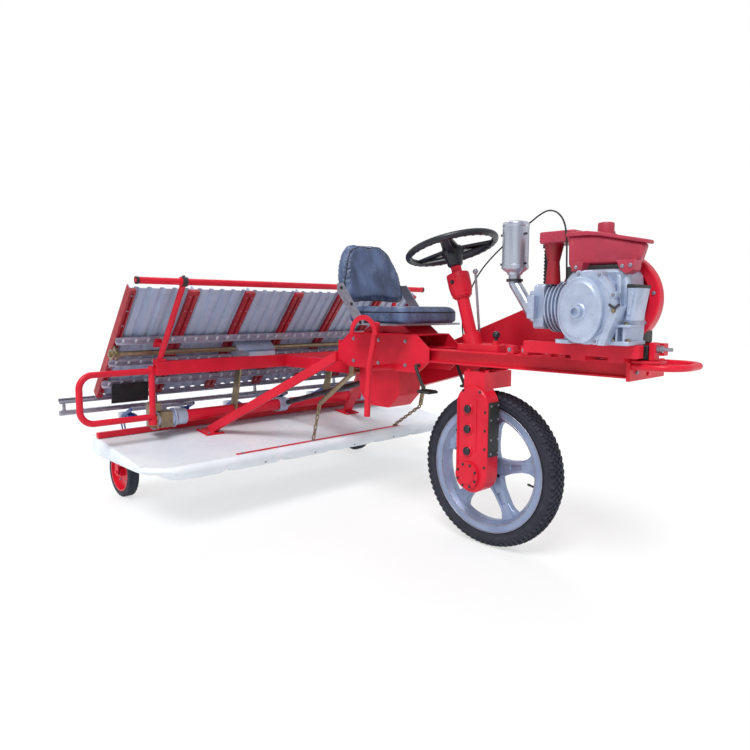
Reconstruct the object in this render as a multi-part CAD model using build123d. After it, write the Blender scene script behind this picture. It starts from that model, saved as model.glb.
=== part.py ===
from build123d import *
import math
import os

os.makedirs("parts", exist_ok=True)

# Six-row ride-on rice transplanter. Millimetres. +X is forward, +Y is the driver's left, +Z is up.
# The layout is drawn from the front wheel: x 0 and y 0 are the kingpin and z 0 is the ground.
# Every piece is moved at the end so that the origin lies on the ground under the middle.

# Front drive wheel
wheel_radius = 310.5
tyre_width = 77
bead_radius = 232
flange_height = 18
flange_thickness = 4
rim_thickness = 10
rim_well_depth = 17
hub_radius = 42
hub_length = 90
spoke_count = 5
spoke_first_angle = 12
spoke_root_width = 50
spoke_tip_width = 36
spoke_thickness = 34
spoke_pocket_depth = 8
axle_radius = 17.5
axle_flange_radius = 46
axle_flange_thickness = 9
running_clearance = 0.05

# Drive leg that carries and steers the front wheel
leg_inner_y = -62
leg_thickness = 73
leg_end_radius = 73
leg_edge_chamfer = 6
leg_edge_inset = 14
leg_top_z = 648
leg_arm_top_z = 700
leg_arm_half_width = 48
leg_arm_bottom_z = 636
leg_arm_left_y = 54
leg_axle_depth = 45
neck_radius = 46
neck_top_z = 708
kingpin_radius = 24
kingpin_bottom_z = 655
kingpin_top_z = 794
cover_radius = 52
cover_thickness = 12
plug_radius = 16
plug_thickness = 7
plug_heights = (559, 482, 397)
plate_thickness = 7
plate_bottom_z = 385
plate_top_z = 590

# Main frame
rail_inner_y = 70
rail_flange = 30
rail_wall = 6
rail_bottom_z = 720
rail_top_z = 775
frame_front_x = 600
frame_rear_x = -785
deck_front_x = -240
deck_bottom_z = 672
deck_top_z = 830
front_plate_thickness = 12
tow_pin_radius = 10
tow_pin_rise = 14
ring_tube_radius = 11
ring_front_x = 740
ring_half_width = 118
ring_bend_radius = 88
ring_z = 762

# Steering head, column and wheel
head_rear_x = -140
head_front_x = 62
head_half_width = 62
head_bottom_z = 714
head_top_z = 800
column_foot = (-100, 0, 800)
column_lean = (-107, 0, 348)
column_radius = 25
column_start = 40
bell_start = 196
bell_length = 45
bell_radius = 40
neck_tube_radius = 21
neck_tube_end = 335
steering_shaft_radius = 11
steering_hub_start = 340
steering_hub_end = 378
steering_hub_radius = 27
steering_rim_distance = 398
steering_rim_radius = 178
steering_grip_radius = 12
steering_spoke_count = 3

# Engine
engine_bed_z = 830
engine_rear_x = 400
engine_front_x = 640
engine_right_y = -190
engine_left_y = 60
engine_top_z = 1075
gear_case_thickness = 46
gear_cover_radius = 100
gear_cover_thickness = 34
gear_cover_x = 497
gear_cover_z = 930
cylinder_rear_x = 240
cylinder_radius = 88
cylinder_y = -35
cylinder_z = 945
fin_count = 8
fin_height = 16
fin_thickness = 5
shroud_x = 412
shroud_z = 970
shroud_radius = 187
shroud_thickness = 120
tank_rear_x = 420
tank_front_x = 630
tank_right_y = -150
tank_left_y = 52
tank_low_z = 1150
tank_high_z = 1182
cap_radius = 25
cap_height = 36
canister_x = 120
canister_y = -50
canister_bottom_z = 1077
canister_top_z = 1250
canister_radius = 47.5
exhaust_radius = 22

# Gearbox and drive line
gearbox_front_x = -440
gearbox_rear_x = -690
gearbox_bottom_z = 500
gearbox_top_z = 760
output_z = 600
shaft_radius = 14
front_shaft_z = 745
belt_x = -560
belt_z = 640

# Seat
seat_rear_x = -670
seat_front_x = -300
seat_half_width = 200
seat_bottom_z = 875
seat_top_z = 938
back_bottom_z = 950
back_top_z = 1240
back_front_x = -640
back_lean = 55
back_thickness = 55
soft_gap = 0.3

# Seedling tray: rows, and a slope that leans forward at the top
row_pitch = 300
row_count = 6
tray_foot_x = -1652
tray_foot_z = 516
tray_slope = 50
tray_length = 655
divider_width = 50
divider_depth = 18
divider_slot = 10
rail_size = 25
rail_stations = (100, 240, 375)
rail_sheet = 4
sheet_thickness = 2.5
fence_thickness = 6
fence_height = 26
rib_height = 9
rib_count = 5
shoe_depth = 15
slide_clearance = 0.5
top_bar_x = -1168
top_bar_z = 1049
top_bar_radius = 15

# Planting gear
beam_x = -1400
beam_z = 410
beam_radius = 30
beam_half_length = 742
beam_flange_thickness = 8
cross_x = -1335
cross_z = 625
cross_depth = 65
cross_width = 40
link_start_y = 72
link_start_z = 748
link_width = 42
link_foot_x = -1361
link_foot_y = 456
link_foot_rear = 59
link_foot_front = 51
link_foot_half = 50
link_foot_plate = 8
strut_inset = 25
strut_lean = 42
strut_radius = 13
strut_foot_half = 23
strut_foot_plate = 10
strut_clamp_half = 17
strut_clamp_wall = 5
strut_pad_inset = 10
strut_pad_half = 15
case_rear_x = -1600
case_rear_z = 392
case_width = 50
case_boss_length = 68
rocker_x = -1572
rocker_z = 440
guide_x = -1650
guide_z = 447
guide_radius = 12.5
guide_half_length = 1066
guard_x = -1340
guard_post_gap = 14
guard_outer_y = 1086
guard_top_z = 646
guard_bottom_z = 434
guard_radius = 14

# Float
float_rear_x = -1580
float_front_x = -932
float_half_width = 965
float_bottom_z = 205
float_rear_top_z = 347
float_lip_x = -980
float_lip_z = 270
float_bar_x = -1494
float_bar_size = 26
strip_thickness = 6

# Lifting chains
chain_wire = 5
chain_width = 18

# Transport wheels behind the float
small_wheel_x = -1646
small_wheel_y = 779
small_wheel_radius = 125
small_wheel_width = 50
small_rim_radius = 96
small_hub_length = 54
small_axle_radius = 8
fork_gap = 64
fork_plate = 6

row_width = row_pitch * row_count
beam_end_y = beam_half_length + beam_flange_thickness
strut_foot_y = beam_end_y - strut_inset
strut_top_y = strut_foot_y - strut_lean
tray_half_width = row_width / 2
rear_end_x = small_wheel_x - small_wheel_radius
front_end_x = ring_front_x + ring_tube_radius
middle_x = (rear_end_x + front_end_x) / 2


def block(x0, x1, y0, y1, z0, z1):
    """Box between two corners."""
    middle = Pos((x0 + x1) / 2, (y0 + y1) / 2, (z0 + z1) / 2)
    return middle * Box(abs(x1 - x0), abs(y1 - y0), abs(z1 - z0))


def along(start, end):
    """Plane at start whose normal points at end, and the distance between them."""
    step = Vector(*end) - Vector(*start)
    side = Vector(0, 0, 1).cross(step)
    if side.length < 0.001 * step.length:
        side = Vector(0, 1, 0)
    return Plane(origin=start, x_dir=side, z_dir=step), step.length


def rod(start, end, radius):
    """Round bar between two points."""
    plane, length = along(start, end)
    return extrude(plane * Circle(radius), length)


def square_tube(start, end, width, height):
    """Rectangular tube, solid inside, between two points. The width is level."""
    plane, length = along(start, end)
    return extrude(plane * Rectangle(width, height), length)


def bent_tube(points, radius, bend):
    """Round tube along straight runs joined by arcs of one radius."""
    path = FilletPolyline(*points, radius=bend)
    return sweep(Plane(origin=path @ 0, z_dir=path % 0) * Circle(radius), path=path)


def side_view(outline, y0, y1):
    """Outline drawn in x and z, filled between two y values."""
    return extrude(Plane.XZ.offset(-y0) * outline, y1 - y0, dir=(0, 1, 0))


def points_view(points, y0, y1):
    """Polygon of x, z points, filled between two y values."""
    return side_view(Polygon(*points, align=None), y0, y1)


def y_cylinder(x, z, radius, y0, y1):
    """Cylinder that lies across the machine."""
    return side_view(Pos(x, z) * Circle(radius), y0, y1)


def both_sides(piece):
    """The piece and its mirror image across the middle of the machine."""
    return piece + mirror(piece, about=Plane.XZ)


def column_point(distance):
    """Point on the steering column's axis, measured up from its foot."""
    lean = Vector(*column_lean).normalized()
    return tuple(Vector(*column_foot) + lean * distance)


def tray_point(up, out):
    """The x and z of a place on the tray: up its slope, and out to its planted side."""
    angle = math.radians(tray_slope)
    x = tray_foot_x + up * math.cos(angle) - out * math.sin(angle)
    z = tray_foot_z + up * math.sin(angle) + out * math.cos(angle)
    return x, z


def tray_block(up0, up1, out0, out1, y0, y1):
    """Box that lies along the tray's slope."""
    corners = [(up0, out0), (up1, out0), (up1, out1), (up0, out1)]
    return points_view([tray_point(*corner) for corner in corners], y0, y1)


def float_top(x):
    """Height of the float's sloping top."""
    slope = (float_rear_top_z - float_lip_z) / (float_rear_x - float_lip_x)
    return float_lip_z + (x - float_lip_x) * slope


def turned(section, x, z):
    """Section of radius and y points turned about a wheel's axle at x, z."""
    return Pos(x, 0, z) * revolve(section, Axis.Y)


def front_tyre():
    half = tyre_width / 2
    inner = half - 8.5
    shoulder = wheel_radius - 11
    bead = bead_radius + flange_height + 1
    outline = Polyline((bead, inner), (bead_radius, inner), (bead_radius, -inner), (bead, -inner))
    right = ThreePointArc((bead, -inner), (bead + 24, -half), (shoulder, 7 - half))
    crown = ThreePointArc((shoulder, 7 - half), (wheel_radius, 0), (shoulder, half - 7))
    left = ThreePointArc((shoulder, half - 7), (bead + 24, half), (bead, inner))
    return turned(make_face(outline + right + crown + left), 0, wheel_radius)


def front_spoke(angle):
    """Tapered spoke with a long pocket in each face."""
    reach = bead_radius - rim_well_depth - rim_thickness / 2
    root = spoke_root_width / 2
    tip = spoke_tip_width / 2
    outline = Polygon((20, -root), (reach, -tip), (reach, tip), (20, root), align=None)
    half = spoke_thickness / 2
    spoke = side_view(outline, -half, half)
    pocket_root = root - 12
    pocket_tip = tip - 9
    slot = Polygon(
        (hub_radius + 22, -pocket_root), (reach - 26, -pocket_tip),
        (reach - 26, pocket_tip), (hub_radius + 22, pocket_root), align=None,
    )
    slot = fillet(slot.vertices(), 6)
    spoke -= side_view(slot, -half, spoke_pocket_depth - half)
    spoke -= side_view(slot, half - spoke_pocket_depth, half)
    return Rot(0, -angle, 0) * spoke


def front_rim():
    half = tyre_width / 2 - 8.5
    lip = half + flange_thickness
    seat = bead_radius
    well = seat - rim_well_depth
    outline = [
        (seat + flange_height, half), (seat, half), (seat, half - 9), (well, 10), (well, -10),
        (seat, 9 - half), (seat, -half), (seat + flange_height, -half), (seat + flange_height, -lip),
        (seat - rim_thickness, -lip), (well - rim_thickness, -12), (well - rim_thickness, 12),
        (seat - rim_thickness, lip), (seat + flange_height, lip),
    ]
    rim = revolve(Polygon(*outline, align=None), Axis.Y)
    rim += y_cylinder(0, 0, hub_radius, -hub_length / 2, hub_length / 2)
    for number in range(spoke_count):
        rim += front_spoke(spoke_first_angle - number * 360 / spoke_count)
    rim -= y_cylinder(0, 0, axle_radius, -hub_length, hub_length)
    return Pos(0, 0, wheel_radius) * rim


def front_axle():
    flange_y = -hub_length / 2
    end_y = leg_inner_y - leg_axle_depth + 2
    axle = y_cylinder(0, wheel_radius, axle_radius, end_y, hub_length / 2 + 8)
    flange = y_cylinder(0, wheel_radius, axle_flange_radius, flange_y - axle_flange_thickness, flange_y)
    return axle + flange


def leg_case():
    outer_y = leg_inner_y - leg_thickness
    inset_y = outer_y + leg_edge_inset
    top_middle = leg_top_z - leg_end_radius
    slot = Rot(0, 0, 90) * SlotCenterToCenter(top_middle - wheel_radius, 2 * leg_end_radius)
    case = side_view(Pos(0, (wheel_radius + top_middle) / 2) * slot, outer_y, leg_inner_y)
    case = chamfer(case.faces().sort_by(Axis.Y)[0].edges(), leg_edge_chamfer)
    case += y_cylinder(-9, wheel_radius - 6, cover_radius, outer_y - cover_thickness, outer_y)
    arm = leg_arm_half_width
    case += block(-arm, arm, inset_y, leg_inner_y, leg_arm_bottom_z - 40, leg_arm_top_z)
    case += block(-arm, arm, inset_y, leg_arm_left_y, leg_arm_bottom_z, leg_arm_top_z)
    case += Pos(0, 0, (leg_arm_top_z + neck_top_z) / 2) * Cylinder(neck_radius, neck_top_z - leg_arm_top_z)
    case -= rod((0, 0, kingpin_bottom_z), (0, 0, neck_top_z + 1), kingpin_radius)
    bore = axle_radius + running_clearance
    case -= y_cylinder(0, wheel_radius, bore, leg_inner_y - leg_axle_depth, leg_inner_y + 1)
    return case


def leg_plugs():
    outer_y = leg_inner_y - leg_thickness
    plugs = [y_cylinder(-14, z, plug_radius, outer_y - plug_thickness, outer_y) for z in plug_heights]
    return plugs[0] + plugs[1] + plugs[2]


def leg_plate():
    face_x = leg_end_radius
    right_y = leg_inner_y - leg_thickness + 9
    return block(face_x, face_x + plate_thickness, right_y, leg_inner_y - 6, plate_bottom_z, plate_top_z)


def kingpin():
    return rod((0, 0, kingpin_bottom_z), (0, 0, kingpin_top_z), kingpin_radius)


def steering_head():
    half = head_half_width
    head = block(head_rear_x, head_front_x, -half, half, head_bottom_z, head_top_z)
    head = fillet(head.edges().filter_by(Axis.Z), 18)
    ear = block(head_rear_x + 25, head_front_x - 25, half - 1, rail_inner_y, rail_bottom_z + 6, rail_top_z - 6)
    head += both_sides(ear)
    foot = column_point(-20)
    head += rod(foot, column_point(column_start), column_radius + 12) & block(
        head_rear_x - 60, head_front_x, -half, half, head_top_z - 20, head_top_z + 80
    )
    head += rod((30, -28, head_top_z), (30, -28, head_top_z + 16), 13)
    head -= rod((0, 0, head_bottom_z - 1), (0, 0, kingpin_top_z + 2), kingpin_radius + running_clearance)
    return head


def steering_column():
    start = column_point(column_start)
    column = rod(start, column_point(bell_start), column_radius)
    column += rod(column_point(bell_start), column_point(bell_start + bell_length), bell_radius)
    column += rod(column_point(bell_start + bell_length), column_point(neck_tube_end), neck_tube_radius)
    bore = steering_shaft_radius + running_clearance
    column -= rod(column_point(bell_start), column_point(neck_tube_end + 1), bore)
    return column


def steering_wheel():
    plane, _ = along(column_foot, column_point(1))
    wheel = rod(column_point(bell_start + 4), column_point(steering_hub_end), steering_shaft_radius)
    wheel += rod(column_point(steering_hub_start), column_point(steering_hub_end), steering_hub_radius)
    rim_plane = plane.offset(steering_rim_distance)
    wheel += rim_plane * Torus(steering_rim_radius, steering_grip_radius)
    for number in range(steering_spoke_count):
        turn = math.radians(number * 360 / steering_spoke_count - 90)
        out = rim_plane.x_dir * math.cos(turn) + rim_plane.y_dir * math.sin(turn)
        start = Vector(*column_point(steering_hub_end - 12)) + out * 15
        end = rim_plane.origin + out * steering_rim_radius
        wheel += square_tube(tuple(start), tuple(end), 26, 9)
    return wheel


def main_frame():
    web_y = rail_inner_y + rail_wall
    outer_y = rail_inner_y + rail_flange
    end_x = frame_front_x - front_plate_thickness
    web = block(frame_rear_x, end_x, rail_inner_y, web_y, rail_bottom_z, rail_top_z)
    low = block(frame_rear_x, end_x, rail_inner_y, outer_y, rail_bottom_z, rail_bottom_z + rail_wall)
    high = block(frame_rear_x, end_x, rail_inner_y, outer_y, rail_top_z - rail_wall, rail_top_z)
    deck = [
        (frame_rear_x, rail_bottom_z - 20), (frame_rear_x + 60, deck_bottom_z),
        (deck_front_x - 60, deck_bottom_z), (deck_front_x, rail_bottom_z), (deck_front_x, rail_top_z),
        (deck_front_x - 70, deck_top_z), (frame_rear_x + 70, deck_top_z), (frame_rear_x, rail_top_z),
    ]
    side = points_view(deck, outer_y, outer_y + rail_wall)
    frame = both_sides(web + low + high + side)
    edge_y = outer_y + rail_wall
    plate_y = ring_half_width + ring_tube_radius + 4
    frame += block(end_x, frame_front_x, -plate_y, plate_y, rail_bottom_z - 5, rail_top_z)
    frame += block(frame_rear_x - 12, frame_rear_x, -edge_y, edge_y, rail_bottom_z - 30, rail_top_z + 15)
    frame += block(frame_rear_x + 70, deck_front_x - 70, -edge_y, edge_y, deck_top_z - rail_wall, deck_top_z)
    for x in (deck_front_x - 10, 150, 380):
        frame += block(x, x + 8, -web_y, web_y, rail_bottom_z, rail_top_z)
    frame -= rod((deck_front_x - 20, 0, front_shaft_z), (deck_front_x, 0, front_shaft_z), shaft_radius + 5)
    pin_z = rail_bottom_z + tow_pin_rise
    pin = rod((end_x - 1, 0, pin_z), (frame_front_x + 1, 0, pin_z), tow_pin_radius)
    return frame - pin


def bumper_ring():
    y = ring_half_width
    rear = frame_front_x
    path = [(rear, -y, ring_z), (ring_front_x, -y, ring_z), (ring_front_x, y, ring_z), (rear, y, ring_z)]
    ring = bent_tube(path, ring_tube_radius, ring_bend_radius)
    return ring


def engine_mounts():
    pad_z = rail_top_z + 15
    outer_y = rail_inner_y + rail_flange
    mounts = None
    for x in (engine_rear_x + 20, engine_front_x - 95):
        pad = block(x, x + 50, engine_right_y + 20, engine_left_y - 4, rail_top_z, pad_z)
        mounts = pad if mounts is None else mounts + pad
    for y in (engine_right_y + 20, 20):
        mounts += block(cylinder_rear_x, engine_front_x, y, y + 36, pad_z, engine_bed_z)
    mounts += block(engine_front_x - 60, engine_front_x + 6, -outer_y, -outer_y + 36, rail_top_z, pad_z)
    return mounts


def engine_block():
    engine = block(engine_rear_x, engine_front_x, engine_right_y, engine_left_y, engine_bed_z, engine_top_z)
    engine = fillet(engine.edges().filter_by(Axis.Y), 14)
    bracket = block(engine_rear_x - 28, engine_rear_x + 2, -166, -134, 950, 958)
    return engine + bracket


def gear_case():
    y0 = engine_right_y - gear_case_thickness
    outline = [(430, 1053), (598, 1053), (640, 877), (612, 838), (402, 838)]
    outline = fillet(Polygon(*outline, align=None).vertices(), 22)
    case = side_view(outline, y0, engine_right_y)
    case += y_cylinder(gear_cover_x, gear_cover_z, gear_cover_radius, y0 - gear_cover_thickness, y0)
    hub_y = y0 - gear_cover_thickness
    return case + y_cylinder(gear_cover_x, gear_cover_z, 17.5, hub_y - 14, hub_y)


def engine_cylinder():
    start = (cylinder_rear_x + 40, cylinder_y, cylinder_z)
    barrel = rod(start, (engine_rear_x, cylinder_y, cylinder_z), cylinder_radius - fin_height)
    pitch = (engine_rear_x - cylinder_rear_x - 52) / fin_count
    for number in range(fin_count):
        x = cylinder_rear_x + 46 + number * pitch
        fin = (x, cylinder_y, cylinder_z)
        barrel += rod(fin, (x + fin_thickness, cylinder_y, cylinder_z), cylinder_radius)
    size = cylinder_radius - 12
    y0, y1 = cylinder_y - size, cylinder_y + size
    head = block(cylinder_rear_x, cylinder_rear_x + 40, y0, y1, cylinder_z - size, cylinder_z + size)
    return barrel + fillet(head.edges().filter_by(Axis.X), 16)


def flywheel_shroud():
    y1 = engine_left_y + shroud_thickness
    shroud = y_cylinder(shroud_x, shroud_z, shroud_radius, engine_left_y, y1)
    shroud = fillet(shroud.faces().sort_by(Axis.Y)[-1].edges(), 20)
    shroud -= y_cylinder(shroud_x, shroud_z, shroud_radius * 0.45, y1 - 30, y1 + 1)
    return shroud - block(engine_rear_x - 1, engine_front_x, engine_left_y - 1, engine_left_y, 800, 1100)


def fuel_tank():
    outline = [
        (tank_rear_x, engine_top_z), (tank_front_x, engine_top_z), (tank_front_x, tank_low_z),
        (tank_rear_x + 90, tank_high_z), (tank_rear_x, tank_high_z),
    ]
    tank = points_view(outline, tank_right_y, tank_left_y)
    tank = fillet(tank.edges().filter_by(Axis.Y), 10)
    tank += rod((463, -50, tank_high_z), (463, -50, tank_high_z + cap_height), cap_radius)
    return tank


def silencer():
    base = (canister_x, canister_y, canister_bottom_z)
    body = rod(base, (canister_x, canister_y, canister_top_z), canister_radius)
    body = fillet(body.edges(), 7)
    elbow = [
        (canister_x, canister_y, canister_bottom_z + 10), (canister_x, canister_y, canister_bottom_z - 45),
        (cylinder_rear_x - 30, canister_y, 905), (cylinder_rear_x, canister_y, 905),
    ]
    return body + bent_tube(elbow, exhaust_radius, 24)


def seat_base():
    outline = [(-650, deck_top_z), (-350, deck_top_z), (-400, seat_bottom_z - 9), (-600, seat_bottom_z - 9)]
    return points_view(outline, -88, 88)


def seat_brackets():
    pan_z = seat_bottom_z - 9
    edge = seat_half_width + 6
    pan = block(-640, -330, -edge, edge, pan_z, seat_bottom_z - soft_gap)
    outline = [(-560, pan_z), (-520, pan_z), (-520, 884), (-655, 1045), (-690, 1045), (-690, 1010)]
    return pan + both_sides(points_view(outline, seat_half_width + soft_gap, edge))


def seat_cushion():
    half = seat_half_width
    cushion = block(seat_rear_x, seat_front_x, -half, half, seat_bottom_z, seat_top_z)
    cushion = fillet(cushion.edges().filter_by(Axis.Z), 45)
    return fillet(cushion.faces().sort_by(Axis.Z)[-1].edges(), 22)


def seat_back():
    outline = [
        (back_front_x, back_bottom_z), (back_front_x - back_lean, back_top_z),
        (back_front_x - back_lean - back_thickness, back_top_z), (back_front_x - back_thickness, back_bottom_z),
    ]
    back = points_view(outline, -seat_half_width, seat_half_width)
    back = fillet(back.edges().filter_by(Axis.X, tolerance=12), 45)
    return back


def gear_lever():
    top = (-112, 22, 1085)
    return rod((-100, 46, head_top_z + 1), top, 5) + Pos(*top) * Sphere(11)


def lift_lever():
    path = [(-394, -250, 880), (-440, -250, 690), (-450, -250, 489)]
    lever = bent_tube(path, 13, 80)
    pivot = rod((-440, -250, 690), (-440, -106, 690), 12)
    return lever + pivot


def lever_guide():
    outer = Pos(-450, 830) * Circle(80) & Pos(-450, 880) * Rectangle(220, 100)
    inner = Pos(-450, 830) * Circle(60)
    arch = side_view(outer - inner, -276, -270)
    return arch + block(-526, -512, -276, -88, deck_top_z, deck_top_z + 6) + block(-386, -374, -276, -88, 830, 836)


def pedals():
    arm = bent_tube([(-290, -106, 705), (-290, -132, 705), (-240, -132, 608)], 7, 10)
    pad = block(-250, -185, -165, -112, 600, 610)
    return both_sides(arm + pad)


def gearbox():
    rear, front, low = gearbox_rear_x, gearbox_front_x, gearbox_bottom_z
    outline = [
        (rear, low + 60), (rear + 50, low), (front - 60, low), (front, low + 60), (front, gearbox_top_z),
        (rear, gearbox_top_z),
    ]
    outline = fillet(Polygon(*outline, align=None).vertices(), 24)
    case = side_view(outline, -rail_inner_y, rail_inner_y)
    return case + rod(rear_shaft_point(-8), rear_shaft_point(20), shaft_radius + 9)


def rear_shaft_point(distance):
    """Point on the line from the gearbox's output to the planting beam."""
    start = Vector(gearbox_rear_x, 0, output_z)
    step = (Vector(beam_x, 0, beam_z) - start).normalized()
    return tuple(start + step * distance)


def belt_guard():
    y0 = engine_left_y + shroud_thickness
    front = Pos(shroud_x, shroud_z) * Circle(110)
    rear = Pos(belt_x, belt_z) * Circle(70)
    outline = make_hull((front + rear).edges())
    guard = side_view(outline, y0, y0 + 56)
    return guard + y_cylinder(belt_x, belt_z, 18, rail_inner_y, y0)


def drive_shafts():
    front = rod((gearbox_front_x, 0, front_shaft_z), (head_rear_x, 0, front_shaft_z), shaft_radius)
    reach = math.hypot(beam_x - gearbox_rear_x, beam_z - output_z)
    rear = rod(rear_shaft_point(20), rear_shaft_point(reach - case_boss_length), shaft_radius)
    return front + rear


def rear_beam():
    return block(cross_x + cross_width / 2, frame_rear_x - 12, -30, 30, cross_z, cross_z + 60)


def link_arms():
    start = (frame_rear_x + 30, -link_start_y, link_start_z)
    end = (link_foot_x, -link_foot_y, float_top(link_foot_x) + 14)
    arm = square_tube(start, end, link_width, link_width)
    arm -= block(frame_rear_x - 12, frame_rear_x + 80, -200, 0, 600, 900)
    x0, x1 = link_foot_x - link_foot_rear, link_foot_x + link_foot_front
    arm -= points_view([(x0, 200), (x1 + 80, 200), (x1 + 80, float_top(x1 + 80)), (x0, float_top(x0))], -600, -300)
    foot = [
        (x0, float_top(x0)), (x1, float_top(x1)), (x1, float_top(x1) + link_foot_plate),
        (x0, float_top(x0) + link_foot_plate),
    ]
    return both_sides(arm + points_view(foot, -link_foot_y - link_foot_half, -link_foot_y + link_foot_half))


def cross_member():
    half = cross_width / 2
    return block(cross_x - half, cross_x + half, -beam_end_y, beam_end_y, cross_z, cross_z + cross_depth)


def planting_beam():
    return y_cylinder(beam_x, beam_z, beam_radius, -beam_half_length, beam_half_length)


def beam_brackets():
    """End flanges, plates up to the cross member and posts down to the bar on the float."""
    half = cross_width / 2
    flange = block(
        beam_x - 40, guard_x + guard_radius, beam_half_length, beam_end_y, beam_z - 34, beam_z + 34
    )
    plate = [(cross_x - half, cross_z), (cross_x + half, cross_z), (beam_x + 34, beam_z), (beam_x - 20, beam_z)]
    bar_top = float_top(float_bar_x - float_bar_size / 2) + float_bar_size
    post = [
        (float_bar_x - 14, bar_top), (float_bar_x + 14, bar_top), (beam_x + 10, beam_z - 6), (beam_x - 10, beam_z + 18),
    ]
    brackets = flange + points_view(plate, 300, 310) + points_view(post, 452, 462)
    brackets -= y_cylinder(beam_x, beam_z, beam_radius, 0, beam_half_length)
    return both_sides(brackets)


def side_guard():
    guard_post_y = beam_end_y + guard_post_gap
    post = rod((guard_x, -guard_post_y, 405), (guard_x, -guard_post_y, 670), guard_radius)
    x, y0, y1 = guard_x, -guard_post_y, -guard_outer_y
    path = [(x, y0, guard_top_z), (x, y1, guard_top_z), (x, y1, guard_bottom_z), (x, y0, guard_bottom_z)]
    guard = post + bent_tube(path, guard_radius, 60)
    reach = guard_radius - 2
    guard += block(x - reach, x + reach, y0, -beam_end_y, beam_z - 2, beam_z + 26)
    return guard + block(x - reach, x + reach, y0, -beam_end_y, cross_z + 7, cross_z + 37)


def tray_struts():
    foot_y, top_y, half, clamp = -strut_foot_y, -strut_top_y, strut_foot_half, strut_clamp_half
    foot_z = cross_z + cross_depth
    strut = rod((cross_x, foot_y, foot_z + 6), (top_bar_x, top_y, top_bar_z - 4), strut_radius)
    strut += block(cross_x - 20, cross_x + 20, foot_y - half, foot_y + half, foot_z, foot_z + strut_foot_plate)
    outside = top_bar_radius + strut_clamp_wall
    strut += rod((top_bar_x, top_y - clamp, top_bar_z), (top_bar_x, top_y + clamp, top_bar_z), outside)
    reach = 4 * clamp
    strut -= rod((top_bar_x, top_y - reach, top_bar_z), (top_bar_x, top_y + reach, top_bar_z), top_bar_radius)
    out = -divider_depth - rail_size - 0.3
    up = rail_stations[2]
    pad_y = -strut_foot_y + strut_pad_inset
    pad = tray_block(up - 22, up + 22, out - 12, out, pad_y - strut_pad_half, pad_y + strut_pad_half)
    x, z = tray_point(up, out - 8)
    pad += square_tube((x, pad_y, z), (cross_x + 35, pad_y, z - 4), 22, 14)
    return both_sides(strut + pad)


def top_bar():
    return rod((top_bar_x, -tray_half_width, top_bar_z), (top_bar_x, tray_half_width, top_bar_z), top_bar_radius)


def traverse_box():
    box = tray_block(280, 345, -95, -25, -284, -60)
    box += block(-1400, cross_x + 15, -250, -90, cross_z + cross_depth, 712)
    x, z = tray_point(320, -55)
    return box - y_cylinder(x, z, 12.5 + running_clearance, -300, 0)


def traverse_shaft():
    x, z = tray_point(320, -55)
    half = tray_half_width + 16
    shaft = y_cylinder(x, z, 12.5, -half, half)
    ear = tray_block(300, 340, -75, -divider_depth, tray_half_width - 12, tray_half_width)
    return shaft + both_sides(ear)


def tray_dividers():
    count = row_count + 1
    dividers = None
    for number in range(count):
        y = number * row_pitch - tray_half_width
        low = max(y - divider_width / 2, -tray_half_width)
        high = min(y + divider_width / 2, tray_half_width)
        bar = tray_block(0, tray_length, -divider_depth, 0, low, high)
        middle = (low + high) / 2
        half = divider_slot / 2
        bar -= tray_block(20, tray_length - 20, -divider_depth, 8 - divider_depth, middle - half, middle + half)
        dividers = bar if dividers is None else dividers + bar
    return dividers


def tray_rails():
    low = -divider_depth - rail_size
    rails = None
    for up in rail_stations:
        half = rail_size / 2
        flat = tray_block(up - half, up + half, -divider_depth - rail_sheet, -divider_depth, -tray_half_width, tray_half_width)
        leg = tray_block(up - half, up - half + rail_sheet, low, -divider_depth, -tray_half_width, tray_half_width)
        angle = flat + leg
        rails = angle if rails is None else rails + angle
    return rails


def tray_shoe():
    return tray_block(-12, 0, -shoe_depth, 0, -tray_half_width, tray_half_width)


def seedling_sheets():
    """One ribbed sheet per row, on which the seedling mat slides down."""
    half = row_pitch / 2 - fence_thickness / 2
    pitch = 2 * half / rib_count
    top = []
    for number in range(rib_count):
        left = number * pitch - half
        top += [(left + pitch * 0.25, 0), (left + pitch * 0.38, rib_height)]
        top += [(left + pitch * 0.62, rib_height), (left + pitch * 0.75, 0)]
    upper = [(-half, sheet_thickness)]
    upper += [(y, out + sheet_thickness) for y, out in top]
    upper += [(half, sheet_thickness)]
    lower = [(half, 0)] + top[::-1] + [(-half, 0)]
    angle = math.radians(tray_slope)
    up = (math.cos(angle), 0, math.sin(angle))
    foot = tray_point(0, 0)
    plane = Plane(origin=(foot[0], 0, foot[1]), x_dir=(0, 1, 0), z_dir=up)
    side = 1 if plane.y_dir.Z > 0 else -1
    outline = [(y, out * side) for y, out in upper + lower]
    sheet = extrude(plane * Polygon(*outline, align=None), tray_length, dir=up)
    rows = [(number + 0.5) * row_pitch - tray_half_width for number in range(row_count)]
    return Compound([Pos(0, y, 0) * sheet for y in rows])


def row_fences():
    """Low walls between the rows that hold the seedling mats in line."""
    half = fence_thickness / 2
    fences = None
    for number in range(row_count + 1):
        y = number * row_pitch - tray_half_width
        low = max(y - half, -tray_half_width)
        high = min(y + half, tray_half_width)
        fence = tray_block(0, tray_length, 0, fence_height, low, high)
        fences = fence if fences is None else fences + fence
    return fences


def apron():
    out = -divider_depth - rail_size
    strip = tray_block(rail_stations[0] - 12.5, rail_stations[0] + 12, out - 3, out, -860, -680)
    rear, front = tray_point(rail_stations[0] - 8, out), tray_point(rail_stations[0] - 8, out - 3)
    flap = points_view([rear, front, (front[0] - 8, 480), (front[0] - 12, 480)], -860, -680)
    return strip + flap


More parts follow.
